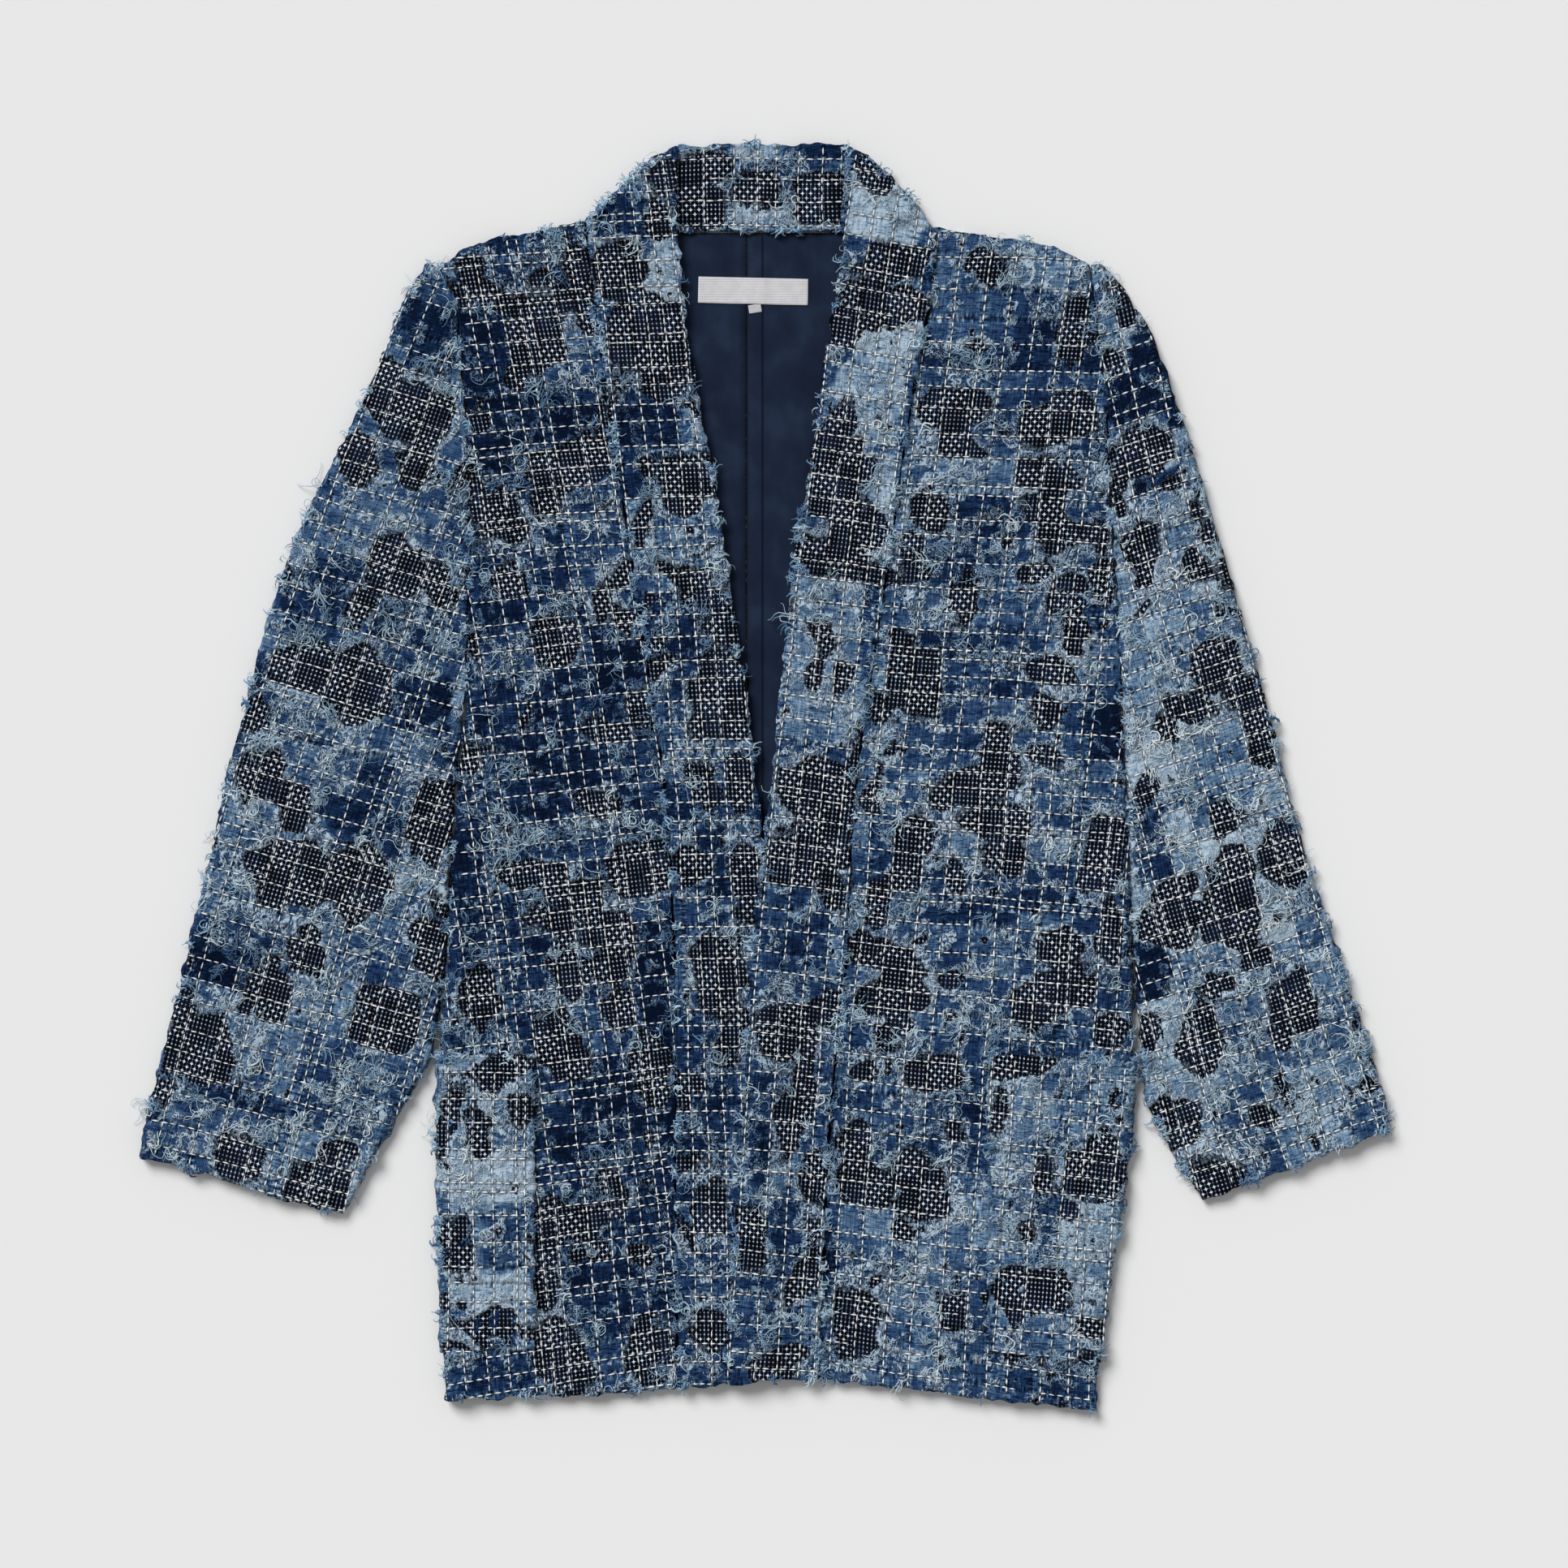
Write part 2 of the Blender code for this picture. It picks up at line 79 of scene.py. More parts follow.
# %% List the panels
Panel = namedtuple("Panel", "name slot rows lean tone frayed wall flat area")
PANELS = [
    Panel("front_right", "boro_deep", (4, 9), (12, 5), 0.22, 0.10, 2.2, (0.200, 0.785), 0.138),
    Panel("front_left", "boro_mid", (-1, -8), (-8, -3), 0.42, 0.18, 2.2, (0.220, 0.785), 0.150),
    Panel("band_right", "boro_deep", (3, 0), (8, 0), 0.34, 0.28, 4.6, (0.062, 0.830), 0.048),
    Panel("band_left", "boro_mid", (-11, -5), (-9, -3), 0.42, 0.28, 4.6, (0.062, 0.830), 0.048),
    Panel("band_neck", "boro_mid", (0, 0), (0, 0), 0.46, 0.30, 4.6, (0.210, 0.062), 0.012),
    Panel("sleeve_right", "boro_mid", (-20, -14), (-24, -13), 0.42, 0.20, 2.2, (0.330, 0.640), 0.180),
    Panel("sleeve_left", "boro_mid", (20, 18), (12, 17), 0.68, 0.22, 2.2, (0.270, 0.630), 0.130),
    Panel("pocket_right", "boro_pale", (0, 0), (0, 0), 0.58, 0.34, 2.2, (0.075, 0.200), 0.015),
    Panel("pocket_left", "boro_pale", (-7, -7), (-5, -4), 0.56, 0.34, 2.2, (0.100, 0.200), 0.020),
]
print("panels:", ", ".join(panel.name for panel in PANELS))

# %% [markdown]
# ## Where the wear lies
# The wear was read off the jacket as rounded patches: x and y of the middle, then width
# and height. TEARS are where the sheeting has worn away and the printed cotton shows. FADES are
# squares of sheeting that are darker or paler than their panel, with that tone in a fifth
# column. FRAYS are where loose yarn lies thickest. The patches only say where: their ragged
# outlines come from noise and from the stitched rows, as torn cloth stops at a seam.

# %% Tables of wear
TEARS = {
    "front_right": [(-195, 340, 25, 20), (-185, 320, 45, 20), (-150, 295, 40, 55), (-145, 330, 20, 15),
        (-120, 325, 20, 65), (-190, 235, 15, 15), (-130, 205, 55, 35), (-190, 180, 15, 55),
        (-175, 180, 20, 25), (-105, 240, 10, 50), (-145, 180, 25, 20), (-170, 130, 25, 25),
        (-105, 120, 15, 35), (-95, 105, 15, 25), (-140, 90, 30, 35), (-160, 40, 10, 35),
        (-80, 45, 25, 30), (-105, 30, 30, 20), (-170, -35, 15, 20), (-155, -65, 50, 20),
        (-130, -85, 60, 30), (-80, -60, 45, 35), (-105, -100, 40, 25), (-130, -125, 30, 50),
        (-100, -120, 25, 35), (-190, -145, 30, 45), (-95, -155, 20, 30), (-135, -180, 30, 50),
        (-75, -195, 30, 55), (-145, -300, 25, 50), (-120, -295, 30, 30), (-100, -280, 20, 25),
        (-110, -315, 15, 15), (-145, -340, 20, 30), (-135, -385, 35, 55), (-75, -380, 35, 50)],
    "front_left": [(150, 340, 20, 30), (205, 295, 25, 40), (125, 245, 50, 25), (130, 220, 35, 25),
        (195, 235, 55, 30), (190, 200, 45, 25), (190, 170, 30, 45), (110, 175, 25, 20),
        (100, 155, 20, 20), (100, 135, 20, 15), (160, 155, 10, 15), (220, 160, 15, 25),
        (135, 120, 20, 40), (200, 120, 35, 30), (205, 95, 15, 30), (90, 90, 25, 15), (100, 65, 35, 45),
        (190, 70, 35, 20), (185, 45, 25, 25), (155, 30, 20, 15), (155, 15, 30, 30), (140, -5, 60, 25),
        (155, -30, 50, 30), (160, -55, 30, 20), (100, -40, 25, 30), (95, -65, 30, 30),
        (75, -85, 15, 30), (125, -65, 15, 25), (85, 20, 10, 15), (225, -50, 25, 55),
        (230, -105, 20, 50), (80, -120, 55, 25), (85, -145, 50, 30), (195, -115, 40, 30),
        (190, -145, 60, 30), (230, -170, 25, 25), (80, -175, 15, 15), (115, -195, 40, 30),
        (60, -240, 25, 30), (125, -235, 15, 20), (65, -270, 45, 35), (105, -270, 30, 55),
        (90, -300, 15, 20), (75, -330, 10, 15), (60, -360, 30, 50), (125, -355, 25, 30)],
    "band_right": [(-95, 335, 35, 45), (-80, 295, 50, 50), (-65, 275, 40, 50), (-105, 235, 10, 85),
        (-50, 195, 40, 40), (-80, 170, 10, 45), (-35, 120, 15, 40), (-25, 100, 25, 30),
        (-30, 75, 30, 25), (-30, 45, 40, 45), (-70, 90, 10, 20), (-40, -5, 15, 30), (-15, -5, 20, 40),
        (-50, -60, 30, 30), (-10, -70, 25, 50), (-25, -130, 30, 60), (-35, -130, 25, 50),
        (-20, -170, 20, 50), (-55, -210, 10, 45), (-35, -285, 20, 35), (-50, -305, 10, 35),
        (-35, -365, 25, 25), (-65, 395, 20, 25), (-70, 370, 25, 30)],
    "band_left": [(85, 340, 60, 25), (80, 315, 60, 25), (55, 300, 20, 35), (50, 235, 20, 35),
        (50, 205, 40, 45), (50, 180, 45, 30), (55, 155, 60, 30), (65, 135, 45, 15), (50, 65, 15, 25),
        (60, 15, 10, 20), (35, -10, 60, 50), (30, -50, 60, 40), (45, -75, 20, 25), (45, -150, 25, 20),
        (15, -170, 40, 40), (20, -220, 25, 70), (-10, -305, 25, 45), (25, -335, 20, 40),
        (35, -305, 10, 45), (75, 400, 15, 20)],
    "band_neck": [(-40, 405, 45, 25), (-45, 380, 40, 30), (-5, 390, 35, 30), (35, 390, 40, 30),
        (35, 375, 35, 15)],
    "pocket_right": [(-175, -195, 50, 25), (-210, -230, 15, 55), (-190, -235, 15, 40),
        (-160, -220, 20, 30), (-205, -310, 25, 40), (-180, -365, 50, 25), (-210, -350, 15, 15)],
    "pocket_left": [(170, -190, 50, 25), (155, -220, 10, 30), (235, -215, 20, 15), (220, -260, 50, 50),
        (185, -265, 15, 30), (200, -290, 15, 15), (175, -300, 15, 20), (185, -340, 40, 30),
        (165, -340, 20, 15), (215, -365, 20, 20)],
    "sleeve_right": [(-250, 255, 30, 60), (-225, 240, 40, 40), (-270, 210, 25, 40),
        (-230, 205, 35, 35), (-245, 140, 30, 45), (-270, 115, 25, 30), (-215, 125, 20, 35),
        (-305, 75, 50, 35), (-270, 60, 50, 60), (-340, 40, 20, 25), (-335, 0, 30, 45),
        (-310, -20, 25, 30), (-220, -30, 35, 55), (-215, -85, 10, 30), (-315, -65, 50, 45),
        (-270, -70, 50, 55), (-305, -120, 25, 25), (-330, -130, 15, 30), (-330, -145, 40, 45),
        (-250, -160, 45, 45), (-220, -125, 25, 30), (-385, -150, 20, 25), (-375, -180, 50, 50),
        (-400, -210, 20, 25), (-350, -250, 35, 30), (-290, -255, 50, 20), (-295, -275, 40, 30)],
    "sleeve_left": [(240, 315, 20, 35), (230, 275, 15, 20), (255, 220, 35, 30), (245, 210, 40, 30),
        (235, 185, 15, 25), (250, 150, 25, 50), (285, 180, 10, 20), (295, 160, 10, 25),
        (305, 135, 10, 25), (310, 110, 20, 10), (300, 75, 40, 40), (320, 55, 35, 25),
        (280, 45, 30, 20), (265, 30, 15, 30), (330, 30, 20, 40), (305, -30, 20, 30),
        (345, -50, 30, 45), (310, -65, 35, 40), (270, -95, 50, 40), (310, -95, 40, 40),
        (325, -120, 25, 20), (350, -150, 35, 40), (295, -140, 15, 20), (290, -175, 35, 55),
        (255, -170, 15, 30), (270, -230, 45, 40), (300, -265, 40, 25), (345, -210, 15, 25),
        (400, -205, 20, 15)],
}
FADES = {
    "front_right": [(-180, -400, 90, 35, 0.34), (-95, -400, 70, 30, 0.46), (-25, -390, 80, 30, 0.50),
        (-180, 280, 30, 65, 0.10), (-130, 20, 65, 85, 0.14), (-95, -295, 70, 150, 0.16),
        (-115, -205, 35, 50, 0.05), (-195, -85, 25, 70, 0.12), (-120, 165, 85, 55, 0.42),
        (-180, -385, 50, 40, 0.30), (-160, 150, 55, 80, 0.28)],
    "front_left": [(60, -390, 120, 35, 0.52), (150, -400, 90, 30, 0.50), (210, -405, 60, 30, 0.46),
        (140, 305, 60, 50, 0.45), (85, 220, 45, 160, 0.62), (150, 80, 50, 45, 0.30),
        (90, 15, 60, 75, 0.50), (190, 5, 50, 55, 0.52), (100, -365, 40, 60, 0.55),
        (135, -130, 30, 50, 0.42), (120, -315, 40, 45, 0.58), (190, -390, 60, 40, 0.30),
        (150, -85, 135, 20, 0.28)],
    "band_right": [(-65, 325, 30, 60, 0.86), (-45, 235, 20, 40, 0.66), (-40, 160, 35, 40, 0.58),
        (-35, -55, 25, 45, 0.12), (-35, -210, 25, 105, 0.24), (-40, -340, 35, 25, 0.48),
        (-95, 370, 35, 30, 0.20)],
    "band_left": [(85, 290, 45, 25, 0.92), (70, 250, 45, 65, 0.84), (80, 175, 20, 80, 0.84),
        (35, 80, 55, 120, 0.68), (80, 375, 55, 45, 0.94), (20, -105, 40, 65, 0.34),
        (45, -220, 25, 120, 0.45), (0, -250, 15, 45, 0.16)],
    "band_neck": [(-5, 415, 35, 15, 0.92), (40, 415, 35, 15, 0.26), (0, 370, 40, 20, 0.74)],
    "pocket_right": [(-185, -265, 65, 35, 0.95), (-180, -340, 55, 25, 0.95),
        (-200, -225, 10, 50, 0.66), (-170, -305, 30, 45, 0.45), (-165, -225, 30, 35, 0.62),
        (-210, -365, 15, 30, 0.70)],
    "pocket_left": [(175, -225, 35, 45, 0.74), (220, -315, 50, 65, 0.80), (210, -220, 30, 35, 0.60),
        (160, -285, 25, 75, 0.66), (180, -365, 65, 30, 0.60)],
    "sleeve_right": [(-220, 290, 35, 50, 0.14), (-285, 170, 40, 40, 0.55), (-205, 145, 20, 95, 0.40),
        (-300, 120, 40, 45, 0.26), (-225, 50, 40, 40, 0.16), (-270, -25, 40, 30, 0.22),
        (-370, -235, 80, 30, 0.52), (-285, -205, 50, 65, 0.38), (-195, -80, 20, 60, 0.40),
        (-345, -70, 15, 50, 0.45)],
    "sleeve_left": [(240, 250, 35, 30, 0.02), (265, 270, 40, 65, 0.12), (265, 195, 50, 15, 0.10),
        (280, 150, 40, 80, 0.70), (250, 80, 40, 100, 0.72), (305, 20, 40, 50, 0.70),
        (255, -50, 25, 55, 0.34), (255, -130, 25, 40, 0.10), (320, -145, 35, 40, 0.62),
        (360, -90, 25, 40, 0.58), (315, -220, 40, 40, 0.48), (395, -225, 30, 25, 0.50)],
}
FRAYS = {
    "front_right": [(-140, 245, 85, 35), (-180, 210, 55, 30), (-115, 175, 45, 40), (-160, 155, 60, 30),
        (-175, 70, 45, 25), (-95, 60, 40, 30), (-185, 5, 45, 55), (-135, -35, 140, 25),
        (-185, -105, 45, 40), (-150, -150, 35, 30), (-110, -240, 60, 45), (-120, -275, 25, 30),
        (-180, -175, 55, 20), (-125, -335, 20, 40), (-75, -350, 30, 55), (-145, 345, 30, 30)],
    "front_left": [(135, 270, 45, 30), (110, 220, 20, 30), (170, 185, 15, 25), (205, 175, 30, 30),
        (135, 155, 50, 30), (75, 220, 20, 160), (110, 110, 45, 35), (120, 45, 60, 30),
        (170, 40, 40, 25), (170, -10, 35, 25), (205, 0, 30, 45), (120, -25, 25, 30),
        (90, -100, 55, 30), (175, -170, 90, 25), (110, -235, 50, 55), (65, -195, 25, 60),
        (105, -340, 50, 25), (50, -380, 30, 30), (180, -375, 80, 50), (200, 295, 25, 15),
        (230, 345, 20, 25)],
    "band_right": [(-65, 345, 30, 35), (-90, 260, 30, 30), (-65, 225, 20, 20), (-60, 185, 30, 25),
        (-40, 135, 35, 35), (-55, 40, 25, 80), (-25, 15, 55, 15), (-20, -35, 40, 25),
        (-45, -120, 25, 30), (-15, -115, 15, 30), (-35, -250, 30, 45), (-20, -305, 25, 85),
        (-40, -385, 35, 30), (-75, 395, 25, 35)],
    "band_left": [(50, 340, 20, 35), (70, 245, 50, 70), (75, 175, 30, 80), (20, 185, 25, 25),
        (50, 125, 60, 35), (35, 60, 55, 25), (15, -35, 40, 25), (15, -145, 45, 25), (20, -85, 45, 20),
        (-5, -295, 30, 175), (40, -215, 20, 65), (75, 395, 35, 35), (45, -10, 25, 20)],
    "band_neck": [(-55, 410, 20, 20), (0, 415, 50, 15), (0, 370, 45, 20), (45, 370, 20, 15)],
    "pocket_right": [(-185, -270, 60, 45), (-170, -340, 30, 30), (-195, -205, 25, 20),
        (-170, -225, 30, 30), (-210, -365, 15, 25)],
    "pocket_left": [(170, -250, 50, 30), (220, -305, 45, 45), (155, -300, 30, 40), (225, -230, 40, 15),
        (215, -195, 35, 15), (175, -220, 35, 30), (210, -340, 35, 30)],
    "sleeve_right": [(-230, 265, 50, 30), (-205, 175, 20, 55), (-265, 160, 35, 25),
        (-280, 135, 50, 30), (-230, 90, 65, 45), (-305, 35, 50, 35), (-275, 15, 60, 35),
        (-315, -30, 55, 30), (-300, -40, 40, 25), (-225, -80, 40, 55), (-320, -95, 65, 30),
        (-280, -130, 35, 30), (-350, -145, 55, 35), (-270, -210, 45, 65), (-320, -235, 100, 25),
        (-230, 5, 35, 30)],
    "sleeve_left": [(230, 325, 35, 25), (235, 290, 20, 25), (260, 265, 25, 20), (240, 145, 25, 40),
        (285, 135, 35, 40), (260, 120, 25, 30), (295, 100, 45, 25), (275, 75, 15, 40),
        (250, 25, 40, 35), (295, 40, 45, 25), (340, 0, 25, 25), (270, -15, 40, 40), (315, -35, 30, 25),
        (335, -85, 25, 30), (285, -115, 25, 25), (370, -150, 35, 30), (315, -175, 40, 20),
        (260, -195, 30, 25), (360, -210, 45, 60), (300, -245, 70, 35)],
}
print("tears:", sum(map(len, TEARS.values())), "fades:", sum(map(len, FADES.values())),
      "frays:", sum(map(len, FRAYS.values())))

# %% [markdown]
# ## The grain
# Stitched rows aren't parallel to the table's edges, and they fan a little from the top of a
# panel to its foot. `to_grain` turns a place on the table into a place on the cloth, u across
# and v up, and `to_table` goes back, by closing in on the answer in a few steps.

# %% Turn table places into cloth places and back
WAVE = 1.6             # how far a stitched row strays from straight, in mm
WAVE_LENGTH = 55.0
SEED_STEP = 7.31       # how far apart in the noise two seeds lie
CLOSE_IN = 4           # steps that close in on a table place


def wander(x, y, length, seed):
    """Smooth noise from about -1 to 1 at each place, with waves of that length."""
    step = 1.0 / length
    deep = seed * SEED_STEP
    return np.array([noise.noise((a * step, b * step, deep)) for a, b in zip(x, y)])


def make_grain(panel, seed):
    """The two functions that go from table to cloth and back, for one panel."""
    low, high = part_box(panel.name)
    foot, top = low.y / MM, high.y / MM
    middle = (low.x + high.x) / 2 / MM
    tall = top - foot

    def turned(ends, y):
        """An angle of the panel at height y, in radians; ends are its top and its foot."""
        share = np.clip((y - foot) / tall, 0, 1)
        return np.radians(ends[1] + (ends[0] - ends[1]) * share)

    def spine(y):
        """x of the column that runs up the middle of the panel."""
        at_foot = np.radians(panel.lean[1])
        change = np.radians(panel.lean[0] - panel.lean[1]) / tall
        half = tall / 2
        up = y - foot
        return middle - at_foot * (up - half) - change * (up ** 2 - half ** 2) / 2

    def to_grain(x, y):
        lean, rise = turned(panel.lean, y), turned(panel.rows, y)
        u = (x - spine(y)) * np.cos(lean)
        v = y / np.cos(lean) - u * np.sin(rise)
        return (u + WAVE * wander(u, v, WAVE_LENGTH, seed),
                v + WAVE * wander(u, v, WAVE_LENGTH, seed + 0.5))

    def to_table(u, v):
        u = u - WAVE * wander(u, v, WAVE_LENGTH, seed)
        v = v - WAVE * wander(u, v, WAVE_LENGTH, seed + 0.5)
        y = v
        for _ in range(CLOSE_IN):
            lean, rise = turned(panel.lean, y), turned(panel.rows, y)
            y = (v + u * np.sin(rise)) * np.cos(lean)
        return u / np.cos(turned(panel.lean, y)) + spine(y), y

    return to_grain, to_table


# %% [markdown]
# ## The cloth
# A panel of thick quilted cloth lies where its solid lies, so the cloth is a grid of small
# squares dropped on to the solid from above. A plumb line at each corner says how high the
# solid is. Corners that fall beside it are pulled in to its outline, so the edge is clean. A
# sleeve, and the part of a front that is folded under, gets a second layer from plumb lines
# sent up from below. Other edges are turned down by the thickness of the cloth.

# %% Measure the solids with plumb lines
bpy.context.view_layer.update()
depsgraph = bpy.context.evaluated_depsgraph_get()
solid_trees = {name: BVHTree.FromObject(node, depsgraph) for name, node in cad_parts.items()}


def height_from_above(tree, x, y):
    """Height where a plumb line dropped from a metre up meets the solid, or None."""
    hit = tree.ray_cast(Vector((x, y, 1)), DOWN)[0]
    return None if hit is None else hit.z


def height_from_below(tree, x, y):
    hit = tree.ray_cast(Vector((x, y, -1)), UP)[0]
    return None if hit is None else hit.z


print("solids to measure:", len(solid_trees))


# %% Drop a grid of cloth on to a solid
SQUARE = 2.2 * MM      # side of a square of cloth
MERGE = 0.35 * MM      # corners closer than this become one
MARGIN = 6             # squares that the grid starts wider than the solid
HALVINGS = 12          # halvings that find the outline


def drop_grid(panel, square=SQUARE):
    """A bmesh of the panel's upper face, with the height of its solid's underside in a layer."""
    low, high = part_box(panel.name)
    tree = solid_trees[panel.name]
    turn = math.radians((panel.lean[0] + panel.lean[1]) / 2)
    size = high - low
    wide = abs(size.x * math.cos(turn)) + abs(size.y * math.sin(turn)) + MARGIN * square
    tall = abs(size.y * math.cos(turn)) + abs(size.x * math.sin(turn)) + MARGIN * square
    place = Matrix.Translation((low + high) / 2) @ Matrix.Rotation(turn, 4, "Z")
    place = place @ Matrix.Diagonal((wide / 2, tall / 2, 1, 1))
    bm = bmesh.new()
    bmesh.ops.create_grid(bm, x_segments=round(wide / square), y_segments=round(tall / square),
                          size=1, matrix=place)
    under = bm.verts.layers.float.new("under")
    lands = {}
    for vert in bm.verts:
        lands[vert] = height_from_above(tree, vert.co.x, vert.co.y)
    empty = [face for face in bm.faces if all(lands[vert] is None for vert in face.verts)]
    bmesh.ops.delete(bm, geom=empty, context="FACES")
    for vert in bm.verts:
        if lands[vert] is None:
            pull_to_outline(vert, lands, tree)
    for vert in bm.verts:
        if lands[vert] is not None:
            vert.co.z = lands[vert]
        vert[under] = height_from_below(tree, vert.co.x, vert.co.y) or 0.0
    bmesh.ops.remove_doubles(bm, verts=bm.verts, dist=MERGE)
    return bm, under


def pull_to_outline(vert, lands, tree):
    """Move a corner that missed the solid towards a neighbour that didn't, up to the edge."""
    around = [edge.other_vert(vert) for edge in vert.link_edges]
    around += [corner for face in vert.link_faces for corner in face.verts if corner is not vert]
    anchor = next(corner for corner in around if lands.get(corner) is not None)
    outside = vert.co.copy()
    inside = anchor.co.copy()
    height = lands[anchor]
    for _ in range(HALVINGS):
        middle = (inside + outside) / 2
        found = height_from_above(tree, middle.x, middle.y)
        if found is None:
            outside = middle
        else:
            inside, height = middle, found
    vert.co = (inside.x, inside.y, height)


# %% [markdown]
# The solids are faceted, and the squares are small enough to show it. Letting each corner sink
# or rise to the level of its neighbours a few times rounds the facets off, as soft cloth would.

# %% Round off the facets
EDGE_RINGS = 4         # rings of corners at the edge that keep their height
EASE_TIMES = 14


def ease_heights(bm):
    """Level each inner corner with its neighbours, upwards and downwards only."""
    edge = {vert for vert in bm.verts if vert.is_boundary}
    for _ in range(EDGE_RINGS):
        edge |= {other.other_vert(vert) for vert in edge for other in vert.link_edges}
    inner = [vert for vert in bm.verts if vert not in edge]
    for _ in range(EASE_TIMES):
        bmesh.ops.smooth_vert(bm, verts=inner, factor=0.5, use_axis_x=False,
                              use_axis_y=False, use_axis_z=True)


# %% [markdown]
# ## Stitched rows and columns
# The rows and columns of running stitch are sewn by eye, some close together and some far
# apart. They cut the cloth into small cells, and each cell puffs up a little between them.

# %% Rule the rows and columns
CLOSE_PAIR = 0.14      # share of rows sewn close beside the one before
PAIR_GAP = (5, 7.5)    # and how close, in mm
UNEVEN = (0.7, 1.75, 0.95)   # least, most and commonest gap of the others, as shares of the usual


def rule_lines(low, high, usual):
    """Places of the lines from low to high, in mm, at uneven distances."""
    lines = [low - usual]
    while lines[-1] < high + usual:
        close = random.random() < CLOSE_PAIR
        gap = random.uniform(*PAIR_GAP) if close else random.triangular(*UNEVEN) * usual
        lines.append(lines[-1] + gap)
    return np.array(lines)


def nearest_gap(lines, at):
    """Distance from each place to the nearest line, and which gap between lines it is in."""
    gap = np.clip(np.searchsorted(lines, at), 1, len(lines) - 1)
    return np.minimum(at - lines[gap - 1], lines[gap] - at), gap


# %% [markdown]
# ## The wear as numbers
# Numbers at each corner of the cloth tell the dye and the yarns what to do there: how torn it
# is, how faded and how frayed, and how far it is from a column and from a row of stitches. They
# are kept in two colour attributes, `wear` and `sewn`, which travel with the mesh.

# %% Work out the wear
TORN_REACH = 16.0      # mm of distance that the torn channel spans
SEWN_REACH = 12.0      # mm of distance that each sewn channel spans
TEAR_SHARE = 0.72      # how much a tear's own outline counts against its stitched cell's
CELL_DEPTH = 9.0       # mm inside or outside past which a stitched cell counts no more
SHAPES = (1.6, 3.4, 2.2, 1.4, 4.0)   # 1 is a diamond, 2 an oval, and 4 nearly a box
LEANS = (10, -14, 4, -24, 18, -5, 28)
SQUARE_CUT = ((4.0,), (0,))          # for patches, which are boxy and stand straight
FAR_OUTSIDE = -40.0
Worn = namedtuple("Worn", "u v torn tone frayed from_column from_row")


def ramp(value, low, high):
    """An even step from 0 at low to 1 at high, soft at both ends."""
    share = np.clip((value - low) / (high - low), 0, 1)
    return share * share * (3 - 2 * share)


def depth_inside(marks, x, y, shapes=SHAPES, leans=LEANS):
    """How far inside the nearest mark each place lies, in mm; negative outside.

    Marks take turns at being pointed, oval and boxy, and lean by different angles."""
    depth = np.full(len(x), FAR_OUTSIDE)
    for number, mark in enumerate(marks):
        power = shapes[number % len(shapes)]
        turn = math.radians(leans[number % len(leans)])
        right, above = x - mark[0], y - mark[1]
        across = np.abs(right * math.cos(turn) + above * math.sin(turn)) / (mark[2] / 2)
        up = np.abs(above * math.cos(turn) - right * math.sin(turn)) / (mark[3] / 2)
        reach = (across ** power + up ** power) ** (1 / power)
        depth = np.maximum(depth, (1 - reach) * min(mark[2], mark[3]) / 2)
    return depth


# %% [markdown]
# A ragged place is a place pushed about by noise, so a patch measured there gets a ragged
# outline. A stitched cell counts as a whole, measured at its middle, so a patch also ends at
# the rows and columns. Mixing the two gives tears that stop at a seam here and there.

# %% Work out how torn, how faded and how frayed
RAG = (7.0, 18)        # how far an outline strays and over what length, in mm
FINE_RAG = (2.6, 7)
STRAY_TEARS = ((26, 30, 0.46), (9, 8, 0.56))   # depth, length and threshold of unlisted tears
PATCH_LUCK = 0.32      # how much the tone changes from patch to patch
CELL_LUCK = 0.12       # and from cell to cell
LISTED_LUCK = 0.16     # and from cell to cell of a listed patch
RIDGE_LENGTH = 30.0    # mm from one winding band of loose yarn to the next
TEAR_LIP = (1.6, 2.4)  # yarns gather this far outside a tear's edge, in a band this wide


def ragged(x, y, seed):
    """Places pushed about by noise, one pair of seeds for x and one for y."""
    pushed = [place + RAG[0] * wander(x, y, RAG[1], seed + own)
              + FINE_RAG[0] * wander(x, y, FINE_RAG[1], seed + own + 1)
              for place, own in ((x, 1), (y, 3))]
    return pushed


def cell_middles(columns, rows, to_table):
    """Table places of the middles of all the stitched cells, and how many there are each way."""
    mid_u = (columns[1:] + columns[:-1]) / 2
    mid_v = (rows[1:] + rows[:-1]) / 2
    cell_u, cell_v = (grid.ravel() for grid in np.meshgrid(mid_u, mid_v, indexing="ij"))
    return to_table(cell_u, cell_v), (len(mid_u), len(mid_v))


def fray_ridges(x, y, seed):
    """Winding bands, about 5 mm wide, that loose yarn gathers into: 0 to 1."""
    broad = np.exp(-(wander(x, y, RIDGE_LENGTH, seed + 8) / 0.115) ** 2)
    fine = np.exp(-(wander(x, y, 0.6 * RIDGE_LENGTH, seed + 9) / 0.095) ** 2)
    return np.maximum(broad, 0.6 * fine)


def work_out_frays(panel, seed, x, y, ragged_place, torn):
    """How frayed each place is: in the listed places, in stray bands, and round the tears."""
    ridges = fray_ridges(x, y, seed)
    marked = ramp(depth_inside(FRAYS[panel.name], *ragged_place), -3, 4)
    frayed = marked * (0.30 + 0.70 * ridges)
    stray = ramp(wander(x, y, 34, seed + 14) + panel.frayed, 0.1, 0.45)
    frayed = np.maximum(frayed, ridges * stray)
    rim = np.exp(-((torn + TEAR_LIP[0]) / TEAR_LIP[1]) ** 2)
    frayed = np.maximum(frayed, rim * ramp(wander(x, y, 15, seed + 15), -0.50, 0.0))
    return frayed * (1 - 0.9 * ramp(torn, 0.8, 4))


